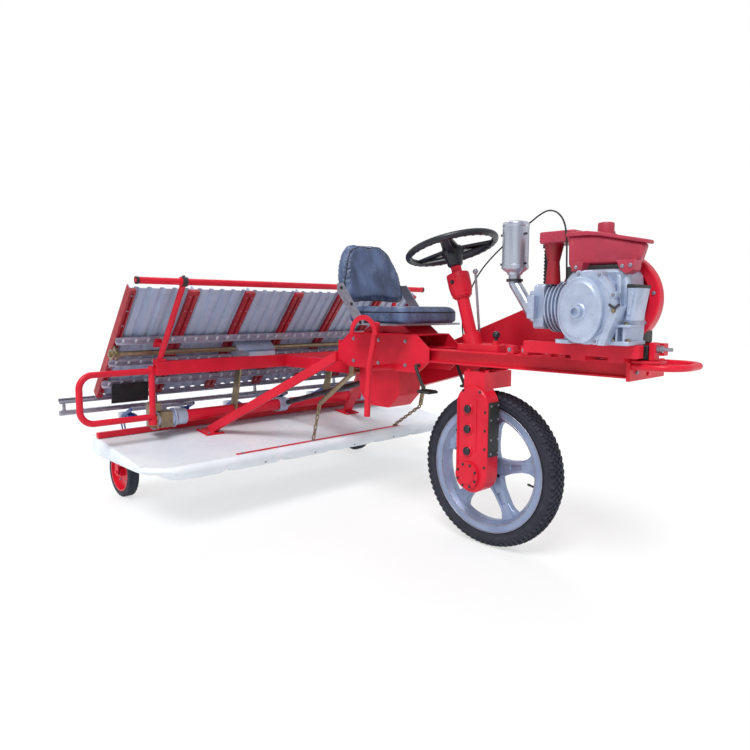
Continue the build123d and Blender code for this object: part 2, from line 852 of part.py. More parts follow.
def guide_rails():
    """Tubular rail with the channel above it in which the tray's shoe slides."""
    tube = y_cylinder(guide_x, guide_z, guide_radius, -guide_half_length, guide_half_length)
    half = guide_half_length
    deep = -shoe_depth - slide_clearance
    low = -12 - slide_clearance
    channel = tray_block(low - 5, -5, deep - 5, deep, -half, half)
    channel += tray_block(low - 5, low, deep - 5, 5.5, -half, half)
    channel += tray_block(low - 5, -7, slide_clearance, 5.5, -half, half)
    x, z = tray_point(low - 5, -10)
    rib = points_view([(guide_x - 10, guide_z), (guide_x + 10, guide_z), (x + 8, z + 4), (x - 6, z - 2)], -5, 5)
    rib -= tray_block(low - 5, 30, deep - 5, 10, -20, 20)
    for y in (-guide_half_length + 20, -600, 0, 600, guide_half_length - 20):
        tube += Pos(0, y, 0) * rib
    return tube + channel


def planter_cases():
    """Three chain cases that reach back from the beam, with a shaft out to a row on each side."""
    half = case_width / 2
    front = Pos(beam_x, beam_z) * Circle(beam_radius + 8)
    rear = Pos(case_rear_x, case_rear_z) * Circle(28)
    outline = make_hull((front + rear).edges())
    case = side_view(outline, -half, half)
    case += y_cylinder(case_rear_x, case_rear_z, 12, 22 - row_pitch / 2, row_pitch / 2 - 22)
    bracket = points_view([(-1620, 400), (-1590, 400), (guide_x + 22, guide_z), (guide_x, guide_z)], -6, 6)
    case += bracket - y_cylinder(guide_x, guide_z, guide_radius, -20, 20)
    case += block(rocker_x - 14, rocker_x + 14, -12, 12, case_rear_z, rocker_z + 10)
    case += y_cylinder(rocker_x, rocker_z, 7, -row_pitch / 2 - 14, row_pitch / 2 + 14)
    cases = None
    for y in (-2 * row_pitch, 0, 2 * row_pitch):
        one = Pos(0, y, 0) * case
        cases = one if cases is None else cases + one
    reach = math.hypot(beam_x - gearbox_rear_x, beam_z - output_z)
    cases += rod(rear_shaft_point(reach - case_boss_length), rear_shaft_point(reach - 20), shaft_radius + 9)
    return cases - y_cylinder(beam_x, beam_z, beam_radius, -beam_half_length, beam_half_length)


def planting_arm():
    """Crank, cast arm and forked claw of one row, in the row's own plane."""
    crank = make_hull(((Pos(case_rear_x, case_rear_z) * Circle(20)) + (Pos(-1628, 402) * Circle(13))).edges())
    arm = make_hull(((Pos(-1628, 402) * Circle(17)) + (Pos(-1712, 398) * Circle(13))).edges())
    piece = side_view(crank, -22, -12) + side_view(arm, -12, 14)
    claw = [(-1722, 398), (-1706, 390), (-1700, 350), (-1684, 306), (-1690, 304), (-1712, 346)]
    for y in (-8, 6):
        piece += points_view(claw, y, y + 4)
    link = make_hull(((Pos(-1672, 396) * Circle(8)) + (Pos(rocker_x, rocker_z) * Circle(9))).edges())
    piece += side_view(link, 14, 20)
    return piece


def planting_arms():
    arms = None
    for number in range(row_count):
        y = (number + 0.5) * row_pitch - tray_half_width
        inner = -1 if number % 2 == 0 else 1
        arm = planting_arm() if inner == 1 else mirror(planting_arm(), about=Plane.XZ)
        arm = Pos(0, y, 0) * arm
        arms = arm if arms is None else arms + arm
    return arms


def float_body():
    outline = [
        (float_rear_x, float_bottom_z + 20), (float_rear_x + 40, float_bottom_z), (-1040, float_bottom_z),
        (-965, float_bottom_z + 22), (float_front_x, 252), (float_front_x, 272), (-948, 284), (-966, 281),
        (float_lip_x, float_lip_z), (float_rear_x, float_rear_top_z),
    ]
    body = points_view(outline, -float_half_width, float_half_width)
    length = float_front_x - float_rear_x
    plan = Pos((float_front_x + float_rear_x) / 2, 0) * Rectangle(length, 2 * float_half_width)
    corners = plan.vertices().sort_by(Axis.X)
    plan = fillet(corners[2:], 130)
    plan = fillet(plan.vertices().sort_by(Axis.X)[:2], 40)
    body &= extrude(plan, 600, dir=(0, 0, 1))
    for number in range(row_count + 1):
        y = number * row_pitch - tray_half_width
        body -= rod((float_rear_x - 10, y, 190), (float_front_x + 10, y, 190), 30)
    arch = small_wheel_radius + 12
    half = small_wheel_width / 2 + 12
    for y in (-small_wheel_y, small_wheel_y):
        body -= y_cylinder(small_wheel_x, small_wheel_radius, arch, y - half, y + half)
    return body


def float_bars():
    size = float_bar_size
    x0, x1 = float_bar_x - size / 2, float_bar_x + size / 2
    low = float_top(x0)
    bar = block(x0, x1, -960, 960, low, low + size)
    front, rear = float_lip_x - 4, float_lip_x - 36
    strip = [
        (front, float_top(front)), (rear, float_top(rear)), (rear, float_top(rear) + strip_thickness),
        (front, float_top(front) + strip_thickness),
    ]
    return bar + points_view(strip, -530, 530)


def chain(start, end, links):
    """Straight chain drawn as short turned links that run into one another."""
    step = (Vector(*end) - Vector(*start)) / links
    level = Vector(0, 0, 1).cross(step).normalized()
    upright = step.normalized().cross(level)
    outer = SlotOverall(step.length + 8, chain_width)
    ring = outer - SlotOverall(step.length + 8 - 2 * chain_wire, chain_width - 2 * chain_wire)
    piece = None
    for number in range(links):
        middle = Vector(*start) + step * (number + 0.5)
        plane = Plane(origin=middle, x_dir=step, z_dir=upright if number % 2 else level)
        link = extrude(plane * ring, chain_wire / 2, both=True)
        piece = link if piece is None else piece + link
    return piece


def lift_chains():
    shaft = y_cylinder(-705, 650, 11, -106, 430)
    edge_y = rail_inner_y + rail_flange + rail_wall
    hanger = block(-720, -690, edge_y - rail_wall, edge_y, 636, deck_bottom_z)
    lift = shaft + both_sides(hanger)
    lift += rod((-705, -84, 650), (-960, -84, 470), 12)
    lift += chain((-962, -85, 462), (-998, -96, float_top(-998) + 13), 7)
    lift += rod((-705, 424, 650), (-730, 400, 440), 11)
    lift += chain((-732, 402, 434), (-998, 480, float_top(-998) + 13), 12)
    return lift


def transport_forks():
    half = fork_gap / 2
    axle = Pos(small_wheel_x, small_wheel_radius) * Circle(18)
    top = Pos(small_wheel_x + 8, 300) * Circle(26)
    leg = make_hull((axle + top).edges())
    arm = Pos((small_wheel_x + float_rear_x - 6) / 2, 300) * Rectangle(float_rear_x - 6 - small_wheel_x, 52)
    plate = side_view(leg + arm, half, half + fork_plate)
    fork = both_sides(plate)
    fork += block(small_wheel_x - 10, float_rear_x - 6, -half, half, small_wheel_radius * 2 + 14, 326)
    fork += block(float_rear_x - 6, float_rear_x, -half - 20, half + 20, 262, 330)
    fork += y_cylinder(small_wheel_x, small_wheel_radius, small_axle_radius, -half - 12, half + 12)
    return Pos(0, -small_wheel_y, 0) * fork + Pos(0, small_wheel_y, 0) * fork


def small_tyre(y):
    half = small_wheel_width / 2
    crown = small_wheel_radius
    outline = [
        (small_rim_radius, -half), (crown - 8, -half), (crown, 8 - half), (crown, half - 8),
        (crown - 8, half), (small_rim_radius, half),
    ]
    return Pos(0, y, 0) * turned(Polygon(*outline, align=None), small_wheel_x, small_wheel_radius)


def small_rim(y):
    half = small_wheel_width / 2
    hub = small_hub_length / 2
    bore = small_axle_radius + running_clearance
    outline = [
        (bore, -hub), (24, -hub), (24, -5), (small_rim_radius - 7, -5), (small_rim_radius - 7, -half),
        (small_rim_radius, -half), (small_rim_radius, half), (small_rim_radius - 7, half),
        (small_rim_radius - 7, 5), (24, 5), (24, hub), (bore, hub),
    ]
    return Pos(0, y, 0) * turned(Polygon(*outline, align=None), small_wheel_x, small_wheel_radius)


# Throttle cable from the engine's governor bracket, over the top, to the left rail
cable_radius = 3
cable_route = [
    (385, -150, 958), (385, -150, 1020), (383, -151, 1090), (377, -144, 1160), (356, -122, 1222),
    (308, -84, 1263), (242, -32, 1284), (178, 16, 1280), (115, 42, 1254), (54, 50, 1221), (-5, 53, 1180),
    (-63, 52, 1134), (-119, 53, 1079), (-163, 54, 1008), (-194, 57, 934), (-209, 66, 870), (-211, 80, 822),
    (-211, 80, rail_top_z),
]


def throttle_cable():
    steps = [Vector(*b) - Vector(*a) for a, b in zip(cable_route, cable_route[1:])]
    bends = []
    for before, after in zip(steps, steps[1:]):
        half_turn = math.radians(before.get_angle(after)) / 2
        bends.append(0.45 * min(before.length, after.length) / math.tan(half_turn))
    print("cable bend radii", [round(bend) for bend in bends])
    path = FilletPolyline(*cable_route, radius=bends)
    tube = sweep(Plane(origin=path @ 0, z_dir=path % 0) * Circle(cable_radius), path=path)
    print("cable length", round(path.length), "volume share", tube.volume / (math.pi * cable_radius**2 * path.length))
    return tube


nodes = {
    "main_frame": main_frame(),
    "bumper_ring": bumper_ring(),
    "steering_head": steering_head(),
    "steering_column": steering_column(),
    "engine_mounts": engine_mounts(),
    "engine_block": engine_block(),
    "gear_case": gear_case(),
    "engine_cylinder": engine_cylinder(),
    "flywheel_shroud": flywheel_shroud(),
    "fuel_tank": fuel_tank(),
    "silencer": silencer(),
    "seat_base": seat_base(),
    "seat_brackets": seat_brackets(),
    "seat_cushion": seat_cushion(),
    "seat_back": seat_back(),
    "gear_lever": gear_lever(),
    "lift_lever": lift_lever(),
    "lever_guide": lever_guide(),
    "pedals": pedals(),
    "gearbox": gearbox(),
    "belt_guard": belt_guard(),
    "drive_shafts": drive_shafts(),
    "rear_beam": rear_beam(),
    "link_arms": link_arms(),
    "cross_member": cross_member(),
    "planting_beam": planting_beam(),
    "beam_brackets": beam_brackets(),
    "side_guard_right": side_guard(),
    "side_guard_left": mirror(side_guard(), about=Plane.XZ),
    "tray_struts": tray_struts(),
    "tray_top_bar": top_bar(),
    "traverse_box": traverse_box(),
    "guide_rails": guide_rails(),
    "planter_cases": planter_cases(),
    "planting_arms": planting_arms(),
    "float": float_body(),
    "float_bars": float_bars(),
    "lift_chains": lift_chains(),
    "transport_forks": transport_forks(),
    "throttle_cable": throttle_cable(),
    "seedling_sheets": seedling_sheets(),
    "row_fences": row_fences(),
    "tray_dividers": tray_dividers(),
    "tray_rails": tray_rails(),
    "tray_shoe": tray_shoe(),
    "traverse_shaft": traverse_shaft(),
    "apron": apron(),
    "leg_case": leg_case(),
    "leg_plugs": leg_plugs(),
    "leg_plate": leg_plate(),
    "kingpin": kingpin(),
    "front_axle": front_axle(),
    "front_rim": front_rim(),
    "front_tyre": front_tyre(),
    "steering_wheel": steering_wheel(),
    "transport_rim_right": small_rim(-small_wheel_y),
    "transport_tyre_right": small_tyre(-small_wheel_y),
    "transport_rim_left": small_rim(small_wheel_y),
    "transport_tyre_left": small_tyre(small_wheel_y),
}

for name, solid in nodes.items():
    export_step(Pos(-middle_x, 0, 0) * solid, f"parts/{name}.step")
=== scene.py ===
import math

import bmesh
import bpy
from mathutils import Matrix, Vector


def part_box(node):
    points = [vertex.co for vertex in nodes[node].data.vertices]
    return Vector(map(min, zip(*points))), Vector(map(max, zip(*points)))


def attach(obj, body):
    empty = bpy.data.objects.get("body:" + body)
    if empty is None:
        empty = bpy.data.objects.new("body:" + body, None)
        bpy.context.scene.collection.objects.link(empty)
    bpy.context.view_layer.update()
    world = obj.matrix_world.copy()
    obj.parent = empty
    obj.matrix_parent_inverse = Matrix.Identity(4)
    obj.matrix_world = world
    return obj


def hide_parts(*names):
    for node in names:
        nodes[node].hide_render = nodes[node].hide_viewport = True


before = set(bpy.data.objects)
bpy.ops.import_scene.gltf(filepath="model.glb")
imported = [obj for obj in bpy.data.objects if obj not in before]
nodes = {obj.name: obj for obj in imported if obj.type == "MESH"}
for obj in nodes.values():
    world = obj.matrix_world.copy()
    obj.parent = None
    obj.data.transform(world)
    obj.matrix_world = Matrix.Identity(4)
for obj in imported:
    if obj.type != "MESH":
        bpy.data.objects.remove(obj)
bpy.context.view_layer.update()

print("stage: frame loaded,", len(nodes), "nodes")

# Metres. The kingpin is at x 0.510; the ground is z 0; the driver's left is +y.


def linear(hexColour):
    values = [int(hexColour[i:i + 2], 16) / 255 for i in (1, 3, 5)]
    return [v / 12.92 if v <= 0.04045 else ((v + 0.055) / 1.055) ** 2.4 for v in values] + [1.0]


def addNode(tree, kind, settings, links=()):
    node = tree.nodes.new(kind)
    for key, value in settings.items():
        if key in node.inputs:
            node.inputs[key].default_value = value
        else:
            setattr(node, key, value)
    for socket, source in links:
        tree.links.new(source, node.inputs[socket])
    return node


def addObject(name, data):
    thing = bpy.data.objects.new(name, data)
    bpy.context.scene.collection.objects.link(thing)
    return thing


def meshOf(name, bm):
    mesh = bpy.data.meshes.new(name)
    bm.to_mesh(mesh)
    bm.free()
    return mesh


def finish(name, look):
    material = bpy.data.materials.new(name)
    material.use_nodes = True
    tree = material.node_tree
    shader = tree.nodes["Principled BSDF"]
    place = addNode(tree, "ShaderNodeTexCoord", {}).outputs["Object"]
    if "stretch" in look:
        place = addNode(
            tree, "ShaderNodeMapping", {"Scale": look["stretch"]}, [("Vector", place)]
        ).outputs[0]
    patches = addNode(
        tree, "ShaderNodeTexNoise",
        {"Scale": 1000 / look["patchMm"], "Detail": 4.0, "Roughness": 0.6},
        [("Vector", place)],
    )
    spread = addNode(
        tree, "ShaderNodeMapRange", {"From Min": 0.35, "From Max": 0.68},
        [("Value", patches.outputs[0])]
    )
    colour = addNode(
        tree, "ShaderNodeMix", {"data_type": "RGBA"}, [(0, spread.outputs[0])]
    )
    colour.inputs[6].default_value = linear(look["base"])
    colour.inputs[7].default_value = linear(look["shade"])
    paint = colour.outputs[2]
    grain = addNode(
        tree,
        "ShaderNodeTexNoise" if look.get("grain", "noise") == "noise" else "ShaderNodeTexVoronoi",
        {"Scale": 1000 / look["grainMm"]}, [("Vector", place)],
    )
    if "marks" in look:  # oil, dust or scuffs gathered in small spots, and painted highlights on the seat
        spots = addNode(
            tree, "ShaderNodeTexNoise",
            {"Scale": 1000 / look["markMm"], "Detail": 6.0, "Roughness": 0.7},
            [("Vector", place)],
        )
        edge = addNode(
            tree, "ShaderNodeMapRange",
            {
                "From Min": look["markStart"], "From Max": look["markStart"] + 0.1,
                "To Max": look["markDepth"]
            },
            [("Value", spots.outputs[0])],
        )
        marked = addNode(
            tree, "ShaderNodeMix", {"data_type": "RGBA"}, [(0, edge.outputs[0]), (6, paint)]
        )
        marked.inputs[7].default_value = linear(look["marks"])
        paint = marked.outputs[2]
    tree.links.new(paint, shader.inputs["Base Color"])
    rough = addNode(
        tree, "ShaderNodeMapRange",
        {"From Min": 0.3, "From Max": 0.7, "To Min": look["rough"][0], "To Max": look["rough"][1]},
        [("Value", patches.outputs[0])],
    )
    tree.links.new(rough.outputs[0], shader.inputs["Roughness"])
    bump = addNode(
        tree, "ShaderNodeBump",
        {"Strength": look.get("bump", 0.3), "Distance": look["depthMm"] / 1000},
        [("Height", grain.outputs[0])],
    )
    tree.links.new(bump.outputs[0], shader.inputs["Normal"])
    for socket, value in look.get("sockets", {}).items():
        shader.inputs[socket].default_value = value
    return material


looks = {
    # stoved enamel: smooth gloss with a faint orange peel and a duller film of dust
    "redEnamel": {
        "base": "#D61D35", "shade": "#C3162D", "patchMm": 160, "grainMm": 3, "depthMm": 0.12,
        "rough": (0.3, 0.46), "marks": "#8F1628", "markMm": 45, "markStart": 0.63, "markDepth": 0.5,
        "sockets": {"Specular IOR Level": 0.24, "Coat Weight": 0.06, "Coat Roughness": 0.15},
    },
    # the dividers under the tray: the same enamel, duller, and painted darker as shade, since they
    # face away from the sun
    "redEnamelPaintedShade": {
        "base": "#A3182A", "shade": "#861220", "patchMm": 120, "grainMm": 3, "depthMm": 0.12,
        "rough": (0.4, 0.56),
    },
    # sun-faded enamel on the sheet-metal tank
    "fadedEnamel": {
        "base": "#B4344B", "shade": "#A32B42", "patchMm": 70, "grainMm": 4, "depthMm": 0.15,
        "rough": (0.34, 0.5), "marks": "#D1606B", "markMm": 30, "markStart": 0.6, "markDepth": 0.5,
    },
    # sand-cast aluminium: matt silver with a fine sandy skin
    "castAluminium": {
        "base": "#BCC8DE", "shade": "#A2AEC6", "patchMm": 60, "grainMm": 1.6, "depthMm": 0.35,
        "rough": (0.38, 0.55), "marks": "#6C7382", "markMm": 18, "markStart": 0.62,
        "markDepth": 0.45, "sockets": {"Metallic": 0.55},
    },
    # painted alloy wheel: satin grey-blue
    "paintedAlloy": {
        "base": "#8F9DBB", "shade": "#7A88A8", "patchMm": 90, "grainMm": 2, "depthMm": 0.12,
        "rough": (0.26, 0.4), "marks": "#5F6572", "markMm": 35, "markStart": 0.62, "markDepth": 0.5,
        "sockets": {"Metallic": 0.35},
    },
    # tread and sidewall rubber: matt, bluish black with pale dust
    "tyreRubber": {
        "base": "#262938", "shade": "#1C1E2A", "patchMm": 40, "grainMm": 1.5, "depthMm": 0.2,
        "rough": (0.62, 0.82), "marks": "#4A4B50", "markMm": 25, "markStart": 0.6,
        "markDepth": 0.35,
    },
    "mouldedRubber": {
        "base": "#1B1C21", "shade": "#141519", "patchMm": 60, "grainMm": 2, "depthMm": 0.1,
        "rough": (0.5, 0.7),
    },
    # phenolic steering wheel: black, glossy from handling
    "glossPhenolic": {
        "base": "#191D2A", "shade": "#121520", "patchMm": 50, "grainMm": 3, "depthMm": 0.06,
        "rough": (0.3, 0.44), "sockets": {"Coat Weight": 0.1, "Coat Roughness": 0.2},
    },
    # rotary-moulded polyethylene: bluish white with faint waves and scuffs
    "rotoPolyethylene": {
        "base": "#E6ECF1", "shade": "#D5DEE8", "patchMm": 220, "grainMm": 9, "depthMm": 0.5,
        "rough": (0.36, 0.52), "marks": "#B9C3CF", "markMm": 90, "markStart": 0.6, "markDepth": 0.4,
        "sockets": {"Subsurface Weight": 0.05},
    },
    # vacuum-formed sheet under the seedling mats
    "traySheet": {
        "base": "#A8B6CE", "shade": "#95A4BF", "patchMm": 120, "grainMm": 4, "depthMm": 0.15,
        "rough": (0.35, 0.5), "marks": "#7C8795", "markMm": 40, "markStart": 0.6, "markDepth": 0.4,
    },
    "galvanisedSteel": {
        "base": "#A9A9B6", "shade": "#8E8F9E", "patchMm": 14, "grainMm": 5, "depthMm": 0.05,
        "rough": (0.28, 0.5), "sockets": {"Metallic": 0.8}, "grain": "cells",
    },
    # bichromate-dipped angle rails: light lilac grey with a soft sheen
    "lilacSteel": {
        "base": "#B4AFC2", "shade": "#9D98AD", "patchMm": 40, "grainMm": 3, "depthMm": 0.06,
        "rough": (0.35, 0.5), "marks": "#7E788C", "markMm": 22, "markStart": 0.6, "markDepth": 0.5,
        "sockets": {"Metallic": 0.25},
    },
    # bare steel with oil in its pores
    "oiledSteel": {
        "base": "#57555A", "shade": "#37363B", "patchMm": 30, "grainMm": 1.2, "depthMm": 0.15,
        "rough": (0.3, 0.5), "sockets": {"Metallic": 0.85},
    },
    "yellowZinc": {
        "base": "#A39474", "shade": "#85796B", "patchMm": 18, "grainMm": 2, "depthMm": 0.06,
        "rough": (0.26, 0.44), "sockets": {"Metallic": 0.85},
    },
    # drawn stainless tube: long bright bands along its axis
    "drawnStainless": {
        "base": "#D3D9E8", "shade": "#A3A8BA", "patchMm": 30, "grainMm": 1, "depthMm": 0.05,
        "rough": (0.2, 0.36), "stretch": (1, 1, 0.08), "sockets": {"Metallic": 0.72},
    },
    "blackEnamel": {
        "base": "#2B2D2B", "shade": "#1F2120", "patchMm": 60, "grainMm": 2.5, "depthMm": 0.15,
        "rough": (0.4, 0.6), "marks": "#4A4C48", "markMm": 22, "markStart": 0.6, "markDepth": 0.5,
    },
    "blueEnamel": {
        "base": "#2A55A8", "shade": "#21468E", "patchMm": 60, "grainMm": 3, "depthMm": 0.12,
        "rough": (0.28, 0.42), "marks": "#8FA5CF", "markMm": 20, "markStart": 0.6, "markDepth": 0.5,
    },
    "whiteEnamel": {
        "base": "#D9DDE6", "shade": "#C2C8D4", "patchMm": 50, "grainMm": 3, "depthMm": 0.1,
        "rough": (0.3, 0.45),
    },
    # embossed upholstery vinyl, blue-grey and crinkled; its pale streaks are scuffs and painted
    # highlights on the crinkles
    "seatVinyl": {
        "base": "#36425F", "shade": "#586A90", "patchMm": 75, "grainMm": 5, "depthMm": 1.2,
        "rough": (0.3, 0.55), "grain": "cells", "bump": 0.5, "stretch": (1.6, 1.0, 0.45),
        "marks": "#7F8BA4", "markMm": 60, "markStart": 0.54, "markDepth": 0.3,
    },
}
materials = {name: finish(name, look) for name, look in looks.items()}

nodeFinish = {
    "redEnamel": (
        "main_frame bumper_ring steering_head steering_column engine_mounts engine_block "
        "flywheel_shroud seat_base lift_lever lever_guide gearbox belt_guard rear_beam link_arms "
        "cross_member planting_beam side_guard_right side_guard_left tray_struts tray_top_bar "
        "float_bars transport_forks leg_case transport_rim_right transport_rim_left"
    ),
    "redEnamelPaintedShade": "tray_dividers",
    "fadedEnamel": "fuel_tank",
    "castAluminium": "gear_case planter_cases traverse_box engine_cylinder",
    "paintedAlloy": "front_rim",
    "tyreRubber": "front_tyre transport_tyre_right transport_tyre_left",
    "mouldedRubber": "apron throttle_cable",
    "glossPhenolic": "steering_wheel leg_plugs",
    "rotoPolyethylene": "float",
    "traySheet": "seedling_sheets row_fences",
    "galvanisedSteel": "guide_rails seat_brackets gear_lever",
    "lilacSteel": "tray_rails tray_shoe",
    "oiledSteel": "kingpin front_axle drive_shafts",
    "yellowZinc": "beam_brackets lift_chains traverse_shaft",
    "drawnStainless": "silencer",
    "blackEnamel": "leg_plate pedals",
    "blueEnamel": "planting_arms",
    "seatVinyl": "seat_cushion seat_back",
}
for finishName, names in nodeFinish.items():
    for nodeName in names.split():
        mesh = nodes[nodeName].data
        mesh.materials.clear()
        mesh.materials.append(materials[finishName])
print("stage: materials")

# camera at the photograph's viewpoint
cameraSettings = {
    "place": (1.964, -2.066, 0.939), "azimuth": 45.65, "down": 6.0, "roll": 0.29, "lens": 30.70
}
azimuth, down = math.radians(cameraSettings["azimuth"]), math.radians(cameraSettings["down"])
level = math.cos(down)
look = Vector((-math.sin(azimuth) * level, math.cos(azimuth) * level, -math.sin(down)))
cameraData = bpy.data.cameras.new("camera")
cameraData.lens = cameraSettings["lens"]
camera = addObject("camera", cameraData)
camera.rotation_mode = "QUATERNION"
camera.rotation_quaternion = look.to_track_quat("-Z", "Y") @ Matrix.Rotation(
    math.radians(cameraSettings["roll"]), 3, "Z"
).to_quaternion()
camera.location = cameraSettings["place"]
bpy.context.scene.camera = camera

# soft daylight from the camera's side, with a pale floor and background
lightSettings = {"sun": 2.3, "sunAngle": 25, "sky": 0.62, "floorSize": 16, "floorWhite": 0.6}
for name, direction, share in (
    ("keySun", (-0.35, 0.75, -1.1), 1.0), ("rearSun", (0.7, -0.5, -0.9), 0.28)
):
    sun = bpy.data.lights.new(name, "SUN")
    sun.energy = lightSettings["sun"] * share
    sun.angle = math.radians(lightSettings["sunAngle"])
    lamp = addObject(name, sun)
    lamp.rotation_mode = "QUATERNION"
    lamp.rotation_quaternion = Vector(direction).to_track_quat("-Z", "Y")
world = bpy.data.worlds.new("studio")
bpy.context.scene.world = world
world.use_nodes = True
sky = world.node_tree
paths = addNode(sky, "ShaderNodeLightPath", {})
seen = addNode(
    sky, "ShaderNodeMath", {"operation": "MAXIMUM"},
    [(0, paths.outputs["Is Camera Ray"]), (1, paths.outputs["Is Transmission Ray"])]
)
strength = addNode(
    sky, "ShaderNodeMapRange", {"To Min": lightSettings["sky"], "To Max": 1.0},
    [("Value", seen.outputs[0])]
)
sky.nodes["Background"].inputs["Color"].default_value = (1, 1, 1, 1)
sky.links.new(strength.outputs[0], sky.nodes["Background"].inputs["Strength"])

bm = bmesh.new()
bmesh.ops.create_grid(bm, x_segments=1, y_segments=1, size=lightSettings["floorSize"])
floorMesh = meshOf("floor", bm)
floor = addObject("floor", floorMesh)
floorMaterial = bpy.data.materials.new("paleFloor")
floorMaterial.use_nodes = True
tree = floorMaterial.node_tree
shader = tree.nodes["Principled BSDF"]
shader.inputs["Base Color"].default_value = (0.86, 0.87, 0.88, 1)
shader.inputs["Roughness"].default_value = 0.9
shader.inputs["Specular IOR Level"].default_value = 0.1
paths = addNode(tree, "ShaderNodeLightPath", {})
glow = addNode(tree, "ShaderNodeEmission", {"Color": (1, 1, 1, 1), "Strength": 1.0})
seen = addNode(
    tree, "ShaderNodeMath", {"operation": "MAXIMUM"},
    [(0, paths.outputs["Is Camera Ray"]), (1, paths.outputs["Is Glossy Ray"])]
)
share = addNode(tree, "ShaderNodeMath", {"operation": "MULTIPLY"}, [(0, seen.outputs[0])])
share.inputs[1].default_value = lightSettings["floorWhite"]
blend = addNode(
    tree, "ShaderNodeMixShader", {},
    [(0, share.outputs[0]), (1, shader.outputs[0]), (2, glow.outputs[0])]
)
tree.links.new(blend.outputs[0], tree.nodes["Material Output"].inputs["Surface"])
floorMesh.materials.append(floorMaterial)
bpy.context.scene.view_settings.view_transform = "Standard"
print("stage: camera, light and floor")


# the record's slot that each finish stands for
slots = {
    "redEnamel": "red_paint", "redEnamelPaintedShade": "red_paint", "fadedEnamel": "red_paint",
    "castAluminium": "cast_alloy", "paintedAlloy": "wheel_alloy",
    "drawnStainless": "silencer_metal",
    "galvanisedSteel": "grey_steel", "oiledSteel": "dark_steel", "yellowZinc": "zinc_yellow",
    "tyreRubber": "tyre_rubber", "mouldedRubber": "black_rubber", "glossPhenolic": "grip_plastic",
    "rotoPolyethylene": "float_plastic", "blackEnamel": "black_paint",
    "whiteEnamel": "tray_plastic",
}
# shares of a bolt's size: radius and height of its washer, head and crown
boltShape = {"washer": (1.15, 0.22), "head": (0.92, 0.55), "crown": (0.7, 0.14)}


def showPiece(name, bm, finishName, body="chassis", slot=None, smooth=35, bevel=0.0):
    bmesh.ops.remove_doubles(bm, verts=bm.verts[:], dist=0.00001)
    bmesh.ops.recalc_face_normals(bm, faces=bm.faces[:])
    mesh = meshOf(name, bm)
    mesh.materials.append(materials[finishName])
    piece = addObject(name, mesh)
    mesh.shade_smooth()
    mesh.set_sharp_from_angle(angle=math.radians(smooth))
    if bevel:
        rounding = piece.modifiers.new("softEdge", "BEVEL")
        rounding.width = bevel
        rounding.segments = 2
        rounding.limit_method = "ANGLE"
    slot = slot or slots[finishName]
    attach(piece, body)
    return piece


def aimed(place, direction):
    turn = Vector(direction).to_track_quat("Z", "Y").to_matrix().to_4x4()
    return Matrix.Translation(place) @ turn


def everything(bm):
    return bm.verts[:] + bm.edges[:] + bm.faces[:]


def thicken(bm, corners, along):
    grown = bmesh.ops.extrude_face_region(bm, geom=[bm.faces.new(corners)], use_keep_orig=True)
    moved = [v for v in grown["geom"] if isinstance(v, bmesh.types.BMVert)]
    bmesh.ops.translate(bm, verts=moved, vec=along)


def chamferAll(bm, offset):
    bmesh.ops.bevel(
        bm, geom=bm.edges[:], offset=offset, offset_type="OFFSET", segments=1, profile=0.5,
        affect="EDGES", material=-1,
    )


def copyRound(bm, middle, count):
    bmesh.ops.spin(
        bm, geom=everything(bm), cent=middle, axis=(0, 1, 0), dvec=(0, 0, 0),
        angle=2 * math.pi - 2 * math.pi / count, steps=count - 1,
        use_merge=False, use_normal_flip=False, use_duplicate=True,
    )


def addBox(bm, matrix, size):
    bmesh.ops.create_cube(bm, size=1, matrix=matrix @ Matrix.Diagonal((*size, 1)))


def addBlock(bm, low, high):
    size = [high[i] - low[i] for i in range(3)]
    middle = [(high[i] + low[i]) / 2 for i in range(3)]
    addBox(bm, Matrix.Translation(middle), size)


def addDisc(bm, place, direction, radius, height, sides=24, top=None):
    matrix = aimed(place, direction) @ Matrix.Translation((0, 0, height / 2))
    bmesh.ops.create_cone(
        bm, cap_ends=True, segments=sides, radius1=radius, radius2=radius if top is None else top,
        depth=height,
        matrix=matrix,
    )


def addBolt(bm, place, direction, size):
    washer, head, crown = boltShape["washer"], boltShape["head"], boltShape["crown"]
    along = Vector(direction).normalized()
    addDisc(bm, place, direction, size * washer[0], size * washer[1], 16)
    nose = Vector(place) + along * size * washer[1]
    addDisc(bm, nose, direction, size * head[0], size * head[1], 6)
    tip = nose + along * size * head[1]
    addDisc(bm, tip, direction, size * head[0], size * crown[1], 6, size * crown[0])


def addTurned(bm, place, direction, profile, steps=48):
    matrix = aimed(place, direction)
    points = [bm.verts.new(matrix @ Vector((radius, 0, height))) for radius, height in profile]
    edges = [bm.edges.new(pair) for pair in zip(points, points[1:])]
    axis = matrix.to_3x3() @ Vector((0, 0, 1))
    bmesh.ops.spin(
        bm, geom=points + edges, cent=place, axis=axis, dvec=(0, 0, 0), angle=2 * math.pi,
        steps=steps,
        use_merge=True, use_normal_flip=False, use_duplicate=False,
    )


def addSheet(bm, points, y0, y1):
    thicken(bm, [bm.verts.new((x, y0, z)) for x, z in points], (0, y1 - y0, 0))


def roundedCopy(name, node, finishName, body, width, segments):
    angle = 28  # degrees: an edge flatter than this stays as it is
    bm = bmesh.new()
    bm.from_mesh(nodes[node].data)
    bmesh.ops.remove_doubles(bm, verts=bm.verts[:], dist=0.00002)
    bmesh.ops.dissolve_limit(bm, angle_limit=0.01, verts=bm.verts[:], edges=bm.edges[:])
    mesh = meshOf(name, bm)
    mesh.materials.append(materials[finishName])
    piece = addObject(name, mesh)
    mesh.shade_smooth()
    mesh.set_sharp_from_angle(angle=math.radians(angle + 6))
    rounding = piece.modifiers.new("worn edges", "BEVEL")
    rounding.width = width
    rounding.segments = segments
    rounding.limit_method = "ANGLE"
    rounding.angle_limit = math.radians(angle)
    rounding.harden_normals = True
    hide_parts(node)
    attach(piece, body)


